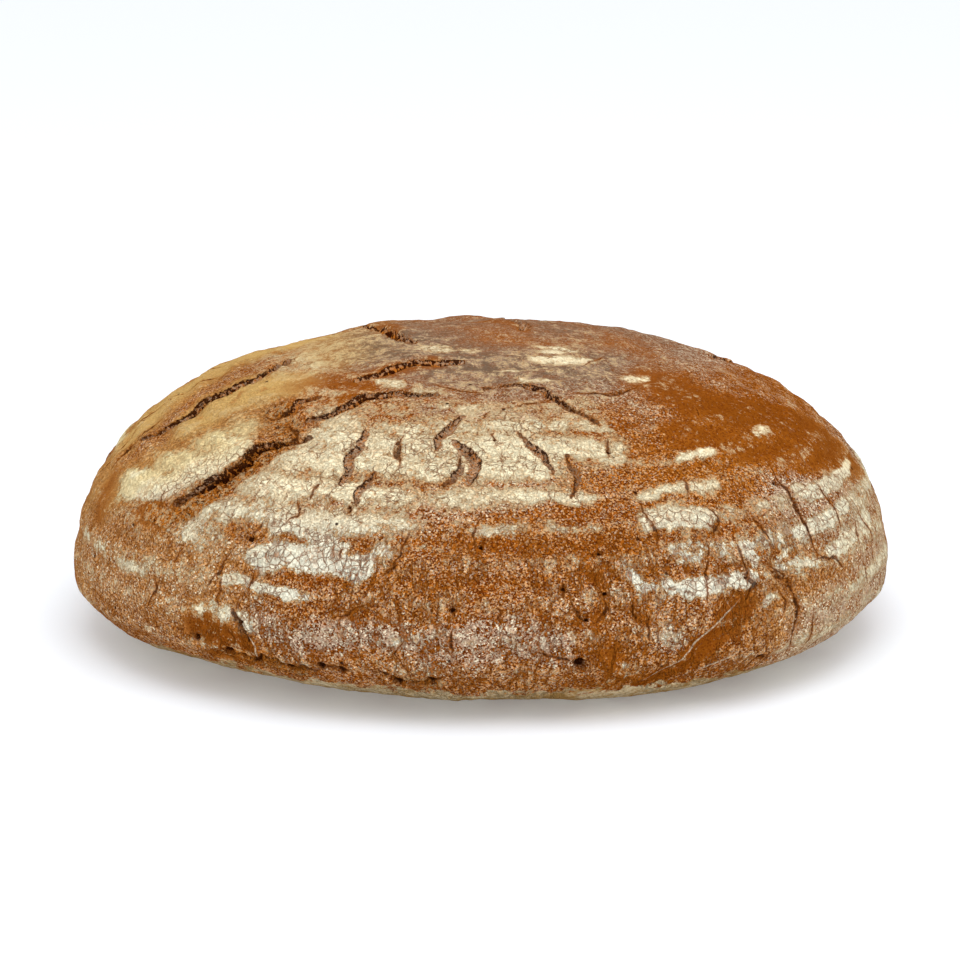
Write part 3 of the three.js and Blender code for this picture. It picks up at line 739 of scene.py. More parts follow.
    def scatter_behind(self, spots):
        """Flour for the back and the ends, on the coils as at the front."""
        bands = []
        for _ in range(FLOUR_BEHIND):
            turn = self.rng.uniform(*FLOUR_TURNS)
            coil = COIL_PITCH * self.rng.randint(*FLOUR_COILS)
            reach = self.rng.uniform(4.0, 11.0)
            path = [(end, coil + self.rng.uniform(-2, 2)) for end in (turn - reach, turn + reach)]
            band = Band(path, self.rng.uniform(2.0, 4.4), self.rng.uniform(0.6, 1.15))
            if coil > CLEAR_CROWN or abs(turn - 180.0) < CLEAR_ENDS:
                bands.append(band)
        self.flour = np.maximum(self.flour, stroke_field(self.form, bands, spots, softness=0.8))

    def raised(self):
        """The spots with their relief, and none of them under the sole."""
        places = self.spots + self.normals * (self.rise * self.above_foot)[:, None]
        places[:, 2] = np.maximum(places[:, 2], 0.0)
        return places


# ---------------------------------------------------------------- the mesh

FRONT_TILT = math.radians(6.0)
FRONT = np.array([0.0, -math.cos(FRONT_TILT), math.sin(FRONT_TILT)])
FRONT_FACING = 0.16  # the crust is fine where it faces the front by more than this
BALL_LEVEL = 6
RIM = 4.0  # past the foot, this much of the sole is split with the flanks

# The crust's values that the material reads.
STORED = "down coils seam seam_half edge edge_half flour dust golden bare torn hole blown".split()


def shaped_ball(form, fine):
    """A ball of triangles, split more finely where it becomes the front of the loaf."""
    ball = bmesh.new()
    bmesh.ops.create_icosphere(ball, subdivisions=BALL_LEVEL, radius=1.0)
    split(ball, form, lambda normals, down: down < form.foot_down + RIM)
    if fine:
        split(ball, form, lambda normals, down: (normals @ FRONT > FRONT_FACING) & (down < form.foot_down))
    bmesh.ops.triangulate(ball, faces=ball.faces[:])
    return ball


def split(ball, form, wanted):
    """Splits every edge whose two ends are wanted, and lays the new vertices on the ball."""
    turn, down = form.place(ball.verts)
    chosen = wanted(form.normals(turn, down), down)
    edges = [e for e in ball.edges if chosen[e.verts[0].index] and chosen[e.verts[1].index]]
    bmesh.ops.subdivide_edges(ball, edges=edges, cuts=1, use_grid_fill=True)
    for vertex in ball.verts:
        vertex.co.normalize()
    ball.verts.index_update()


def mesh_from(shape, name):
    mesh = bpy.data.meshes.new(name)
    shape.to_mesh(mesh)
    shape.free()
    return mesh


def add_object(name, data):
    thing = bpy.data.objects.new(name, data)
    bpy.context.scene.collection.objects.link(thing)
    return thing


def build_crust(sizes, colours):
    form = Form(sizes.length / MM, sizes.depth / MM, sizes.height / MM)
    ball = shaped_ball(form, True)
    crust = Crust(form, *form.place(ball.verts), sizes)
    for vertex, place in zip(ball.verts, crust.raised()):
        vertex.co = Vector(place) * MM
    for face in ball.faces:
        face.smooth = True
    bmesh.ops.recalc_face_normals(ball, faces=ball.faces[:])
    mesh = mesh_from(ball, "loaf crust")
    for name in STORED:
        attribute = mesh.attributes.new(name, "FLOAT", "POINT")
        attribute.data.foreach_set("value", getattr(crust, name).astype(np.float32))
    mesh.materials.append(crust_material(colours))
    piece = add_object("loaf_crust", mesh)
    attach(piece, "root")
    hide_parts("loaf")


# ---------------------------------------------------------------- materials

WINDING_RADIUS = 133.0  # about the loaf's radius, so that what is wound round it keeps its scale
GRAIN_BLUR = 0.06


class Graph:
    """Adds nodes to a tree and joins them, so that a material reads as a list of steps."""

    def __init__(self, tree):
        self.tree = tree

    def node(self, kind, **settings):
        node = self.tree.nodes.new(kind)
        for name, value in settings.items():
            setattr(node, name, value)
        return node

    def put(self, socket, value):
        """Feeds a socket. Where it takes a number, a tuple stands for the product of its members."""
        if isinstance(value, tuple) and socket.type == "VALUE":
            value = self.times(*value)
        if isinstance(value, bpy.types.NodeSocket):
            self.tree.links.new(value, socket)
        elif socket.type == "RGBA":
            socket.default_value = (*value[:3], 1.0)
        else:
            socket.default_value = value

    def feed(self, node, values):
        """Feeds the node's inputs of these names, and returns the node."""
        for name, value in values.items():
            self.put(node.inputs[name], value)
        return node

    def operate(self, kind, operation, values):
        node = self.node(kind, operation=operation)
        for socket, value in zip(node.inputs, values):
            self.put(socket, value)
        return node.outputs[0]

    def attribute(self, name):
        return self.node("ShaderNodeAttribute", attribute_name=name).outputs["Fac"]

    def maths(self, operation, *values):
        return self.operate("ShaderNodeMath", operation, values)

    def vector(self, operation, *values):
        return self.operate("ShaderNodeVectorMath", operation, values)

    def plus(self, *values):
        total = values[0]
        for value in values[1:]:
            total = self.maths("ADD", total, value)
        return total

    def times(self, *values):
        total = values[0]
        for value in values[1:]:
            total = self.maths("MULTIPLY", total, value)
        return total

    def less(self, a, b):
        return self.maths("SUBTRACT", a, b)

    def absolute(self, value):
        return self.maths("ABSOLUTE", value)

    def ramp(self, value, low, high, start=0.0, end=1.0):
        """A smooth step from start at low to end at high."""
        names = ("Value", "From Min", "From Max", "To Min", "To Max")
        node = self.node("ShaderNodeMapRange", interpolation_type="SMOOTHSTEP")
        return self.feed(node, dict(zip(names, (value, low, high, start, end)))).outputs["Result"]

    def between(self, value, start, end):
        """A smooth step from start, where the value is 0, to end, where it is 1."""
        return self.ramp(value, 0.0, 1.0, start, end)

    def mix(self, factor, a, b, blend="MIX"):
        node = self.node("ShaderNodeMix", data_type="RGBA", blend_type=blend)
        for index, value in zip((0, 6, 7), (factor, a, b)):
            self.put(node.inputs[index], value)
        return node.outputs[2]

    def scaled(self, vector, factor):
        node = self.node("ShaderNodeVectorMath", operation="SCALE")
        self.put(node.inputs[0], vector)
        self.put(node.inputs["Scale"], factor)
        return node.outputs[0]

    def jostled(self, vector, noise, amount):
        """The vector moved to and fro by coloured noise."""
        drift = self.vector("SUBTRACT", noise, (0.5, 0.5, 0.5))
        return self.vector("ADD", vector, self.scaled(drift, amount))

    def cloud(self, vector, size, detail, roughness=0.5, colour=False):
        """Noise from 0 to 1 whose largest lumps are size across, in the vector's units."""
        values = {"Vector": vector, "Scale": 1.0 / size, "Detail": detail, "Roughness": roughness}
        return self.feed(self.node("ShaderNodeTexNoise"), values).outputs["Color" if colour else "Fac"]

    def cells(self, vector, size, feature="F1"):
        node = self.node("ShaderNodeTexVoronoi", feature=feature)
        return self.feed(node, {"Vector": vector, "Scale": 1.0 / size}).outputs

    def red(self, colour):
        return self.feed(self.node("ShaderNodeSeparateColor"), {"Color": colour}).outputs["Red"]

    def upwards(self, value):
        """A vector along Z of this length."""
        return self.feed(self.node("ShaderNodeCombineXYZ"), {"Z": value}).outputs["Vector"]

    def group(self, tree, **values):
        node = self.node("ShaderNodeGroup", node_tree=tree)
        return self.feed(node, {name.capitalize(): value for name, value in values.items()}).outputs


def new_group(name, numbers, outputs):
    """An empty node group that takes a place and some numbers, and the two ends of its graph."""
    tree = bpy.data.node_groups.new(name, "ShaderNodeTree")
    tree.interface.new_socket(name="Place", in_out="INPUT", socket_type="NodeSocketVector")
    for socket, default in numbers.items():
        made = tree.interface.new_socket(name=socket, in_out="INPUT", socket_type="NodeSocketFloat")
        made.default_value = default
    for socket in outputs:
        tree.interface.new_socket(name=socket, in_out="OUTPUT", socket_type="NodeSocketFloat")
    graph = Graph(tree)
    return graph, graph.node("NodeGroupInput").outputs, graph.node("NodeGroupOutput").inputs


def crackle_group():
    """Thin lines between cells of dried skin, broken here and there, and a value for each cell."""
    numbers = {"Size": 3.0, "Line": 0.05, "Bend": 1.0, "Gaps": 0.45}
    graph, given, out = new_group("Crackle", numbers, ["Lines", "Cells"])
    spread = graph.scaled(given["Place"], graph.maths("DIVIDE", 1.0, given["Size"]))
    bent = graph.jostled(spread, graph.cloud(spread, 1.0, 3.0, 0.6, colour=True), given["Bend"])
    edge = graph.cells(bent, 1.0, "DISTANCE_TO_EDGE")["Distance"]
    line = graph.ramp(edge, 0.0, given["Line"], 1.0, 0.0)
    broken = graph.ramp(graph.cloud(spread, 2.2, 2.0), given["Gaps"], graph.plus(given["Gaps"], 0.1))
    graph.put(out["Lines"], graph.times(line, broken))
    graph.put(out["Cells"], graph.red(graph.cells(bent, 1.0)["Color"]))
    return graph.tree


def grit_group():
    """Sandy grains: masks for the pale ones and the dark ones, each over the given share of the crust."""
    graph, given, out = new_group("Grit", {"Size": 0.7, "Pale": 0.3, "Dark": 0.2}, ["Pale", "Dark", "Tint"])
    spread = graph.scaled(given["Place"], graph.maths("DIVIDE", 1.0, given["Size"]))
    bent = graph.jostled(spread, graph.cloud(spread, 0.8, 1.0, 0.5, colour=True), 0.9)
    value = graph.red(graph.cells(bent, 1.0)["Color"])
    graph.put(out["Tint"], graph.maths("FRACT", graph.times(value, 41.0)))
    pale, dark = graph.less(1.0, given["Pale"]), given["Dark"]
    for name, limit, ends in (("Pale", pale, (0.0, 1.0)), ("Dark", dark, (1.0, 0.0))):
        low, high = graph.plus(limit, -GRAIN_BLUR), graph.plus(limit, GRAIN_BLUR)
        graph.put(out[name], graph.ramp(value, low, high, *ends))
    return graph.tree


def crust_material(colours):
    """Colours and fine relief of the crust, laid over each other from the baked skin outwards."""
    material = bpy.data.materials.new("floured rye crust")
    material.use_nodes = True
    material.node_tree.nodes.clear()
    g = Graph(material.node_tree)
    crackle = crackle_group()
    grit = grit_group()

    # Places: plain millimetres, and millimetres wound round the loaf along its coils.
    place = g.scaled(g.node("ShaderNodeTexCoord").outputs["Object"], 1.0 / MM)
    down = g.attribute("down")
    bearing = g.vector("NORMALIZE", g.vector("MULTIPLY", place, (1.0, 1.0, 0.0)))
    wound = g.vector("ADD", g.scaled(bearing, WINDING_RADIUS), g.upwards(down))
    names = ("coils", "flour", "dust", "golden", "bare", "torn", "hole")
    coils, flour, dust, golden, bare, torn, hole = [g.attribute(name) for name in names]

    # Clouds of several sizes, each used more than once, and the valleys between the skin's lumps.
    broad = g.cloud(place, 30.0, 3.0, 0.55)
    patchy = g.cloud(place, 6.0, 4.0, 0.62)
    mottled = g.cloud(place, 2.2, 3.0, 0.65)
    grain = g.cloud(place, 0.7, 2.0, 0.65)
    pores = g.cloud(place, 1.3, 3.0, 0.65)
    streaks = g.cloud(g.vector("MULTIPLY", wound, (0.08, 0.08, 0.4)), 1.0, 4.0, 0.62)
    valleys = g.group(crackle, place=place, size=4.2, line=0.26, bend=1.0, gaps=0.3)["Lines"]

    # How calm the skin is, how sharp (the crown is softer than the flanks), and its fine crevices.
    calm = g.maths("MINIMUM", g.plus(bare, (golden, 0.7)), 1.0)
    sharp = g.ramp(down, 36.0, 96.0, 0.3, 1.0)
    crevices = g.ramp(g.absolute(g.less(g.cloud(place, 1.5, 3.0, 0.6), 0.5)), 0.05, 0.005)
    crevices = g.times(crevices, g.ramp(calm, 0.2, 1.0, 1.0, 0.25), sharp)

    # Upright furrows down the flanks, with a wrinkle in each.
    upright = g.cloud(g.vector("MULTIPLY", wound, (0.22, 0.22, 0.11)), 1.0, 3.0, 0.55)
    upright = g.absolute(g.less(upright, 0.5))
    flanks = g.times(g.ramp(down, 118.0, 146.0), g.ramp(down, 206.0, 196.0), g.ramp(broad, 0.38, 0.48))
    flanks = g.times(flanks, g.ramp(golden, 0.1, 0.32, 1.0, 0.25))
    furrows = g.times(g.ramp(upright, 0.08, 0.0), flanks)
    wrinkles = g.times(g.ramp(upright, 0.05, 0.02), flanks, g.ramp(mottled, 0.4, 0.52))

    # The baked skin under everything; the crown is painted darker, as painted shade.
    crown_shade = g.ramp(down, 30.0, 100.0, -0.22, 0.0)
    tone = g.plus((broad, 0.45), (patchy, 0.3), (mottled, 0.25), (coils, 0.025), crown_shade)
    skin = g.mix(g.ramp(tone, 0.4, 0.6), colours.dark_skin_and_shade, colours.skin)
    gold = g.times(golden, g.ramp(g.plus(patchy, (streaks, 0.6)), 0.4, 0.75))
    skin = g.mix(gold, skin, colours.golden_skin)
    stretched = g.times(bare, g.ramp(streaks, 0.3, 0.6, 0.72, 0.95))
    skin = g.mix(g.maths("MINIMUM", stretched, 0.95), skin, colours.bare_skin)
    # The valleys between the skin's lumps are painted darker: painted shade.
    skin = g.mix((valleys, sharp, g.ramp(calm, 0.0, 0.7, 0.42, 0.1)), skin, colours.dark_skin_and_shade)

    # Sandy grains of meal, pale on the lumps, with painted shade in the hollows between them, and few where
    # the skin is bare.
    share = g.plus(
        (broad, 0.3),
        (patchy, 0.2),
        (mottled, 0.1),
        (streaks, 0.15),
        0.08,
        (dust, g.ramp(patchy, 0.42, 0.56, 0.1, 0.34)),
        (coils, g.ramp(down, 74.0, 110.0, 0.02, 0.08)),
        (bare, -0.5),
        (golden, -0.1),
        (torn, -0.2),
        (valleys, -0.09),
        (furrows, -0.14),
    )
    meal = g.group(grit, place=place, size=0.46, pale=share, dark=g.between(calm, 0.3, 0.24))
    strong = g.times(g.between(calm, 1.0, 0.75), g.ramp(golden, 0.1, 0.6, 1.0, 0.35), sharp)
    grey = g.maths("MAXIMUM", g.ramp(dust, 0.2, 0.7), g.ramp(meal["Tint"], 0.5, 0.9))
    skin = g.mix((meal["Dark"], strong, 0.85), skin, colours.grain_shade)
    skin = g.mix((meal["Pale"], strong, 0.85), skin, g.mix(grey, colours.meal, colours.dust))
    bright = g.plus((share, 0.5), (dust, 0.2), -0.2)
    shifted = g.vector("ADD", place, (9.0, 4.0, 7.0))
    white = g.group(grit, place=shifted, size=0.5, pale=bright, dark=0.0)["Pale"]
    skin = g.mix((white, sharp), skin, colours.pale_grain)

    # Dust: a dull haze over the crown, partly dust and partly painted shade that darkens the top; clumps of
    # it elsewhere; and painted shade in the skin's fine crevices.
    haze = g.times(dust, g.ramp(down, 40.0, 100.0, 0.95, 0.0), g.ramp(streaks, 0.35, 0.6, 0.6, 1.0))
    skin = g.mix(haze, skin, colours.crown_dust_and_shade)
    clumps = g.ramp(g.plus((patchy, 0.65), (mottled, 0.35), (dust, 0.1)), 0.56, 0.64)
    clumps = g.times(clumps, dust, g.ramp(furrows, 0.0, 0.5, 0.7, 0.0), g.ramp(down, 50.0, 110.0, 0.3, 1.0))
    skin = g.mix(clumps, skin, colours.dust)
    # The skin's fine crevices are painted darker: painted shade.
    skin = g.mix((crevices, 0.3), skin, colours.crack)

    # Flour: a sandy veil that browned, and cream cakes of it, crackled where it lies thickest.
    plates = g.group(crackle, place=place, size=2.9, line=0.085, bend=0.6, gaps=0.34)
    creases = g.group(crackle, place=place, size=3.4, line=0.1, bend=1.6, gaps=0.47)["Lines"]
    thick = g.ramp(flour, 0.95, 1.15)
    whiter = g.ramp(down, 112.0, 146.0)
    uneven = g.plus(g.less(patchy, 0.5), g.less(mottled, 0.5))
    level = g.plus(
        flour,
        (g.less(streaks, 0.5), 0.4),
        (g.less(broad, 0.5), 0.7),
        (uneven, g.plus(1.4, (whiter, 0.6))),
        (coils, g.ramp(down, 74.0, 124.0, 0.04, 0.2)),
        (valleys, -0.12),
        (thick, (g.less(plates["Cells"], 0.5), 0.3)),
        (torn, -0.8),
    )
    floury = g.ramp(level, 0.05, 0.8)
    shifted = g.vector("ADD", place, (3.0, 8.0, 5.0))
    veil = g.group(grit, place=shifted, size=0.45, pale=floury, dark=0.0)["Pale"]
    veil = g.plus((veil, 0.5), (floury, g.between(whiter, 0.46, 0.3)))
    skin = g.mix(veil, skin, colours.toasted_flour)
    ragged = g.times(g.less(grain, 0.5), g.plus(0.9, whiter))
    caked = g.ramp(g.plus(level, ragged), g.between(whiter, 0.46, 0.6), g.between(whiter, 0.9, 0.76))
    cream = g.mix(whiter, colours.cream_flour, colours.white_flour)
    cream = g.mix((golden, g.ramp(patchy, 0.3, 0.52)), cream, colours.golden_flour)
    toasted = g.ramp(g.plus((patchy, 0.55), (mottled, 0.45)), 0.48, 0.62, 0.0, 0.6)
    toasted = g.times(toasted, g.ramp(thick, 1.0, 0.0, 0.25, 1.0), g.between(whiter, 1.0, 0.3))
    cream = g.mix(toasted, cream, colours.toasted_flour)
    # Where the grains' painted shade falls in the cream flour, it shows as toasted flour.
    cream = g.mix((meal["Dark"], g.between(whiter, 0.5, 0.15)), cream, colours.toasted_flour)
    skin = g.mix((caked, 0.95), skin, cream)
    skin = g.mix(g.ramp(golden, 0.1, 0.7, 0.0, 0.75), skin, colours.golden_cast, "MULTIPLY")

    # Lines of crackle through the flour, wrinkles in the flanks, and pinholes filled with painted shade.
    lines = g.maths("MAXIMUM", (plates["Lines"], thick), creases)
    lines = g.times(lines, g.ramp(level, 0.3, 0.6), g.ramp(golden, 0.5, 0.2, 0.1, 1.0))
    skin = g.mix((lines, 0.78), skin, g.mix(g.ramp(lines, 0.5, 0.9), colours.skin, colours.crack))
    wrinkle_colour = g.mix(g.ramp(pores, 0.44, 0.5), colours.crack, colours.dark_skin_and_shade)
    skin = g.mix((wrinkles, g.between(calm, 0.75, 0.2)), skin, wrinkle_colour)
    pinholes = g.cells(place, 8.5)
    pinholes = g.times(g.ramp(pinholes["Distance"], 0.085, 0.05), g.ramp(g.red(pinholes["Color"]), 0.55, 0.6))
    skin = g.mix((pinholes, 0.9), skin, colours.pit_shade)

    # Torn skin: orange crumb, with painted shade in its pores and between its grains.
    crumb = g.mix(g.ramp(pores, 0.38, 0.5), colours.pit_shade, colours.crumb)
    crumb = g.mix((meal["Dark"], 0.7), crumb, colours.grain_shade)
    crumb = g.mix((g.ramp(g.plus(grain, mottled), 0.98, 1.1), 0.7), crumb, colours.toasted_flour)
    frayed = g.ramp(g.plus(torn, (g.less(mottled, 0.5), 1.6)), 0.3, 0.6, 0.0, 0.9)
    skin = g.mix(frayed, skin, crumb)

    # Placed cracks: ragged edges and an orange bank.
    seam_side = g.attribute("seam")
    seam_half = g.attribute("seam_half")
    wide = g.ramp(seam_half, 0.6, 1.2)
    drift = g.less(g.cloud(place, 4.2, 2.0, 0.5), 0.5)
    fray = g.plus((g.less(g.cloud(place, 2.2, 2.0, 0.5), 0.5), 2.4), (g.less(grain, 0.5), 0.7))
    off = g.plus(seam_side, (drift, g.between(wide, 2.6, 1.0)), (fray, g.plus(0.25, (seam_half, 0.5))))
    opening = g.times(seam_half, g.maths("MAXIMUM", wide, g.ramp(mottled, 0.4, 0.58, 0.6, 1.3)))
    inside = g.less(opening, g.absolute(off))
    bank = g.times(g.ramp(inside, -0.9, -0.1), g.ramp(seam_half, 0.03, 0.3))
    skin = g.mix((bank, 0.36), skin, colours.crumb)

    # Their floors: rough, with painted shade between the grains and black pits of painted shade that gather
    # under the upper lip as its painted shadow, or a slit with painted shade at its bottom where narrow.
    seam = g.times(g.ramp(inside, -0.12, 0.12), g.ramp(seam_half, 0.03, 0.16))
    lip_shadow = g.times(g.maths("DIVIDE", seam_side, g.plus(seam_half, 0.2)), g.ramp(hole, 0.4, 1.0, 0.1, 0.24))
    edges = g.times(g.ramp(inside, 0.6, 0.1), 0.1)
    pits = g.ramp(g.plus(pores, lip_shadow, edges, g.ramp(hole, 0.4, 1.0, 0.0, 0.06), -0.08), 0.5, 0.56)
    crumbly = g.maths("MAXIMUM", g.ramp(torn, 0.2, 0.6), g.ramp(hole, 0.45, 0.8))
    floor = g.mix(crumbly, colours.tear_floor, colours.crumb)
    floor = g.mix((meal["Dark"], 0.8), floor, colours.dark_skin_and_shade)
    floor = g.mix((g.ramp(mottled, 0.46, 0.58), 0.45), floor, colours.skin)
    floor = g.mix((meal["Pale"], g.ramp(hole, 0.25, 0.7, 0.45, 0.05)), floor, colours.dust)
    floor = g.mix(pits, floor, colours.pit_shade)
    slit = g.mix((g.ramp(inside, 0.12, 0.4), g.ramp(pores, 0.4, 0.5)), colours.crack, colours.pit_shade)
    floor = g.mix(wide, slit, floor)
    skin = g.mix((seam, g.between(wide, 0.85, 0.95)), skin, floor)
    # Painted shade at the bottoms of the deepest holes, with more of it under the upper lip.
    deep_shade = g.times(g.ramp(hole, 0.7, 1.0), g.ramp(g.plus(pores, lip_shadow), 0.5, 0.6), 0.85)
    skin = g.mix(deep_shade, skin, colours.pit_shade)

    # Blow-holes: brown round the mouth, and painted shade inside.
    blown = g.plus(g.attribute("blown"), (g.less(mottled, 0.5), 1.1))
    skin = g.mix((g.ramp(blown, -0.4, -0.05), 0.6), skin, colours.crack)
    skin = g.mix((g.ramp(blown, -0.05, 0.2), 0.9), skin, colours.pit_shade)

    # Thin edges of folds that caught flour.
    edge_half = g.attribute("edge_half")
    edge_off = g.absolute(g.plus(g.attribute("edge"), (fray, 0.2)))
    edge = g.times(g.ramp(g.less(edge_half, edge_off), -0.12, 0.12), g.ramp(edge_half, 0.05, 0.3))
    edge = g.times(edge, g.ramp(grain, 0.6, 0.45, 0.25, 1.0))
    skin = g.mix((edge, 0.62), skin, colours.pale_grain)

    # The sole: floured on the stone, browned in patches.
    sole = g.ramp(g.plus(down, (g.less(patchy, 0.5), 26.0), (g.less(grain, 0.5), 8.0)), 185.5, 187.5)
    sole_tone = g.ramp(g.plus((g.cloud(place, 18.0, 4.0, 0.6), 0.6), (mottled, 0.4)), 0.42, 0.58)
    sole_skin = g.mix(sole_tone, colours.sole, colours.sole_flour)
    sole_skin = g.mix(g.ramp(grain, 0.5, 0.65, 0.0, 0.6), sole_skin, colours.sole)
    skin = g.mix(sole, skin, sole_skin)

    # Relief finer than the mesh, in millimetres.
    height = g.plus(
        (grain, g.between(caked, -0.45, -0.25)),
        (mottled, g.between(caked, -0.75, -0.3)),
        (patchy, 0.6),
        (valleys, g.ramp(calm, 0.0, 0.8, -0.4, -0.05)),
        (meal["Pale"], 0.08),
        (pinholes, -0.6),
        (caked, 0.14),
        (lines, -0.4),
        (furrows, -1.1),
        (wrinkles, -0.25),
        (seam, pits, wide, -0.8),
        (crevices, -0.4),
        (seam, g.between(wide, -0.2, -0.6)),
        (frayed, (pores, 1.2)),
        (edge, 0.3),
        (bare, (grain, 0.3)),
    )
    bump = g.feed(g.node("ShaderNodeBump"), {"Height": height, "Distance": MM, "Strength": 1.0})
    rough = g.plus(0.86, (bare, -0.22), (golden, -0.1), (caked, 0.12))
    surface = {
        "Base Color": skin,
        "Roughness": g.maths("MINIMUM", rough, 1.0),
        "Specular IOR Level": 0.0,
        "Normal": bump.outputs["Normal"],
    }
    shader = g.feed(g.node("ShaderNodeBsdfPrincipled"), surface)
    g.feed(g.node("ShaderNodeOutputMaterial"), {"Surface": shader.outputs["BSDF"]})
    return material


def floor_material(stage):
    material = bpy.data.materials.new("pale floor")
    material.use_nodes = True
    inputs = material.node_tree.nodes["Principled BSDF"].inputs
    inputs["Base Color"].default_value = (*stage.floor_colour, 1.0)
    inputs["Roughness"].default_value = 0.9
    inputs["Emission Color"].default_value = (1.0, 1.0, 1.0, 1.0)
    inputs["Emission Strength"].default_value = stage.floor_glow
    return material


# ---------------------------------------------------------------- stage


def build_floor(stage):
    plane = bmesh.new()
    bmesh.ops.create_grid(plane, x_segments=1, y_segments=1, size=stage.floor_size / 2)
    mesh = mesh_from(plane, "floor")
    mesh.materials.append(floor_material(stage))
    floor = add_object("floor", mesh)


def aim(thing, place, target):
    thing.location = place
    thing.rotation_euler = (Vector(target) - Vector(place)).to_track_quat("-Z", "Y").to_euler()


def build_lights(stage):
    world = bpy.data.worlds.new("soft room")
    world.use_nodes = True
    background = world.node_tree.nodes["Background"]
    background.inputs["Color"].default_value = (1.0, 1.0, 1.0, 1.0)
    background.inputs["Strength"].default_value = stage.room_light
    bpy.context.scene.world = world
    light = bpy.data.lights.new("softbox above", "AREA")
    light.shape = "RECTANGLE"
    light.size = 1.2
    light.size_y = 1.0
    light.energy = stage.softbox_power
    aim(add_object("softbox above", light), place=(0.12, -0.42, 1.2), target=(0.0, 0.0, 0.05))


def build_camera():
    """Looks at the loaf from its front, a little above it."""
    elevation = math.radians(15.0)
    distance = 1.12
    target = Vector((0.0, 0.0, 0.042))
    lens = bpy.data.cameras.new("camera")
    lens.sensor_width = 36.0
    lens.lens = 121.4
    lens.shift_x = -0.001
    lens.shift_y = 0.0172
    lens.clip_end = 20.0
    camera = add_object("camera", lens)
    place = target + Vector((0.0, -math.cos(elevation), math.sin(elevation))) * distance
    aim(camera, place, target)
    bpy.context.scene.camera = camera


# ---------------------------------------------------------------- the add-on


def paint(code):
    """A colour written as on a paint card, as the linear numbers that Blender mixes."""
    parts = [int(code[i:i + 2], 16) / 255 for i in (0, 2, 4)]
    return tuple(p / 12.92 if p <= 0.04045 else ((p + 0.055) / 1.055) ** 2.4 for p in parts)


def length_property(name, description, default, largest):
    units = {"subtype": "DISTANCE", "unit": "LENGTH"}
    return FloatProperty(name=name, description=description, default=default, min=0.0, max=largest, **units)


def relief_property(name, description, default):
    return FloatProperty(name=name, description=description, default=default, min=0.0, max=3.0)


def colour_property(name, description, code):
    return FloatVectorProperty(
        name=name, description=description, default=paint(code), min=0.0, max=1.0, size=3, subtype="COLOR"
    )


class BREAD_sizes(bpy.types.PropertyGroup):
    """Sizes of the loaf and of its relief"""

    length: length_property("Length", "Length of the plain loaf", 0.280, 1.0)
    depth: length_property("Depth", "Depth of the plain loaf, front to back", 0.252, 1.0)
    height: length_property("Height", "Height of the plain loaf", 0.1004, 1.0)
    coil_relief: relief_property(
        "Coil relief", "Half the height of a basket coil's ridge, in millimetres", 0.34
    )
    grain_relief: relief_property("Grain relief", "Height of the skin's lumps, in millimetres", 0.42)
    crack_ragged: relief_property(
        "Crack raggedness", "How far a crack wanders from its line, in millimetres", 1.1
    )
    seed: IntProperty(name="Seed", description="Another seed gives another back to the loaf", default=11)


class BREAD_colours(bpy.types.PropertyGroup):
    """Colours of the crust"""

    skin: colour_property("Skin", "Baked skin where it is lightest", "CC7C2A")
    # Also the painted shade in the valleys between the skin's lumps, and between the grains of a tear's
    # floor.
    dark_skin_and_shade: colour_property("Dark skin", "Baked skin where it is darkest", "A25816")
    # Painted shade in the hollows between the grains.
    grain_shade: colour_property("Dark grain", "Hollows between the grains of the skin", "622708")
    golden_skin: colour_property("Golden skin", "Skin that baked less, on the left shoulder", "D4B074")
    golden_flour: colour_property("Golden flour", "Flour on the golden skin", "E2C684")
    golden_cast: colour_property("Golden cast", "Tint over all of the golden part", "FFFBE4")
    # Partly dust, and partly painted shade that darkens the crown.
    crown_dust_and_shade: colour_property("Crown haze", "Thin dull haze over the crown", "72604F")
    bare_skin: colour_property("Bare skin", "Stretched skin without dust", "84460E")
    meal: colour_property("Meal", "Sandy grains of meal on the skin", "DEA66E")
    dust: colour_property("Dust", "Greyish meal dust", "CCAE94")
    pale_grain: colour_property("Pale grain", "Single pale grains of flour", "FCECCC")
    cream_flour: colour_property("Cream flour", "Flour on the upper coils", "FFF3CE")
    white_flour: colour_property("White flour", "Flour on the lower coils", "FFFBE4")
    toasted_flour: colour_property("Toasted flour", "Flour that browned", "D6B688")
    # Also the painted shade in the skin's fine crevices.
    crack: colour_property("Crack", "Narrow cracks and crackle lines", "804210")
    # Painted shade in pits, pores, pinholes, blow-holes and the bottoms of cracks.
    pit_shade: colour_property("Deep crack", "Pits and the bottoms of cracks", "361204")
    tear_floor: colour_property("Tear floor", "Rough floor of a wide tear", "B08C6C")
    crumb: colour_property("Crumb", "Torn crumb at a tear's bank", "BE7228")
    sole: colour_property("Sole", "Browned sole of the loaf", "B08850")
    sole_flour: colour_property("Sole flour", "Flour on the sole and its rim", "D8C49E")


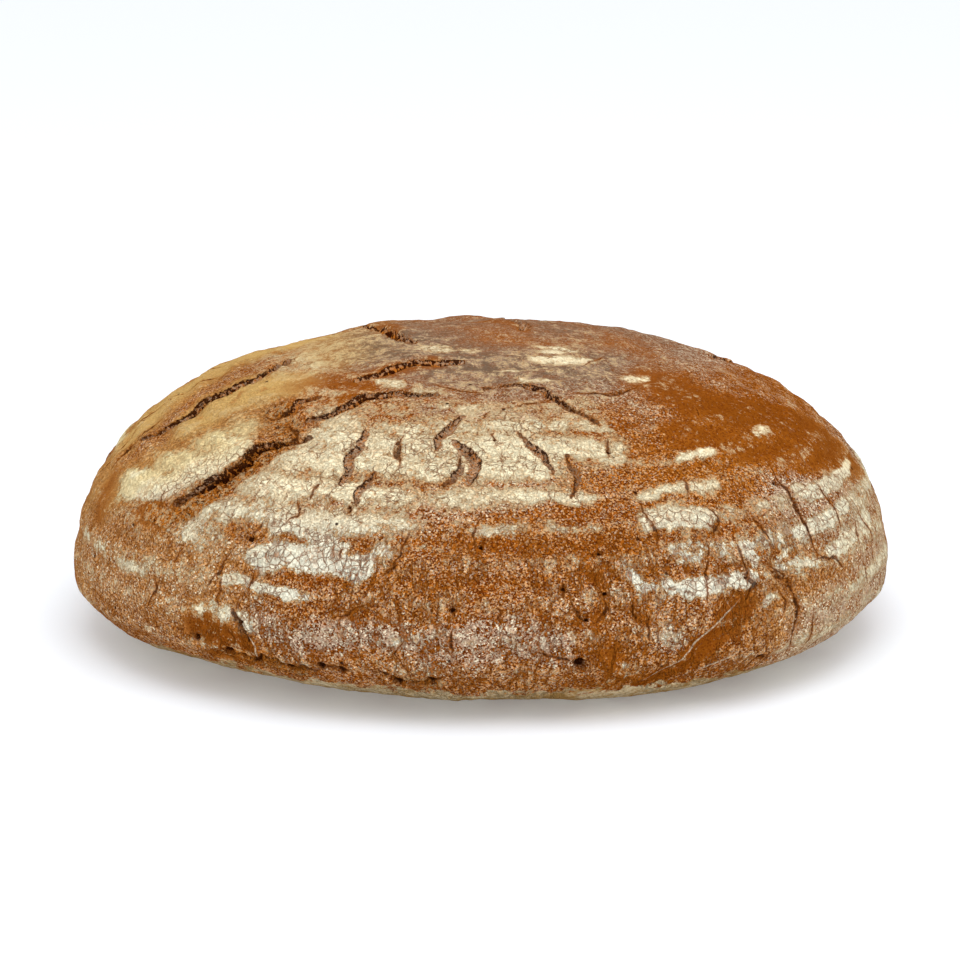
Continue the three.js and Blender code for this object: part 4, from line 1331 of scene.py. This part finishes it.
class BREAD_stage(bpy.types.PropertyGroup):
    """Floor and light"""

    floor_size: length_property("Floor size", "Side of the square floor", 6.0, 100.0)
    floor_colour: colour_property("Floor colour", "Plain pale floor", "E5EAF0")
    floor_glow: FloatProperty(
        name="Floor glow", description="Light that the floor gives of its own", default=0.19, min=0.0
    )
    room_light: FloatProperty(
        name="Room light", description="Strength of the even light", default=0.92, min=0.0
    )
    softbox_power: FloatProperty(
        name="Softbox power",
        description="Power of the light above",
        default=8.0,
        min=0.0,
        subtype="POWER",
        unit="POWER",
    )


class BREAD_OT_crust(bpy.types.Operator):
    """Build the loaf's crust in place of the plain solid"""

    bl_idname = "bread.crust"
    bl_label = "Build crust"

    def execute(self, context):
        scene = context.scene
        build_crust(scene.bread_sizes, scene.bread_colours)
        return {"FINISHED"}


class BREAD_OT_stage(bpy.types.Operator):
    """Build the floor, the lights and the camera"""

    bl_idname = "bread.stage"
    bl_label = "Build stage"

    def execute(self, context):
        stage = context.scene.bread_stage
        build_floor(stage)
        build_lights(stage)
        build_camera()
        context.scene.view_settings.view_transform = "Standard"
        return {"FINISHED"}


class BREAD_PT_panel(bpy.types.Panel):
    """Lists the loaf's sizes and colours and its two builders"""

    bl_idname = "BREAD_PT_panel"
    bl_label = "Rye bread loaf"
    bl_space_type = "VIEW_3D"
    bl_region_type = "UI"
    bl_category = "Bread"

    def draw(self, context):
        scene = context.scene
        for group in (scene.bread_sizes, scene.bread_colours, scene.bread_stage):
            box = self.layout.box()
            for name in group.__annotations__:
                box.prop(group, name)
        self.layout.operator(BREAD_OT_crust.bl_idname)
        self.layout.operator(BREAD_OT_stage.bl_idname)


CLASSES = (BREAD_sizes, BREAD_colours, BREAD_stage, BREAD_OT_crust, BREAD_OT_stage, BREAD_PT_panel)


def register():
    for one in CLASSES:
        bpy.utils.register_class(one)
    bpy.types.Scene.bread_sizes = PointerProperty(type=BREAD_sizes)
    bpy.types.Scene.bread_colours = PointerProperty(type=BREAD_colours)
    bpy.types.Scene.bread_stage = PointerProperty(type=BREAD_stage)


def unregister():
    del bpy.types.Scene.bread_stage
    del bpy.types.Scene.bread_colours
    del bpy.types.Scene.bread_sizes
    for one in reversed(CLASSES):
        bpy.utils.unregister_class(one)


def main():
    register()
    bpy.ops.bread.crust()
    bpy.ops.bread.stage()


if __name__ == "__main__":
    main()
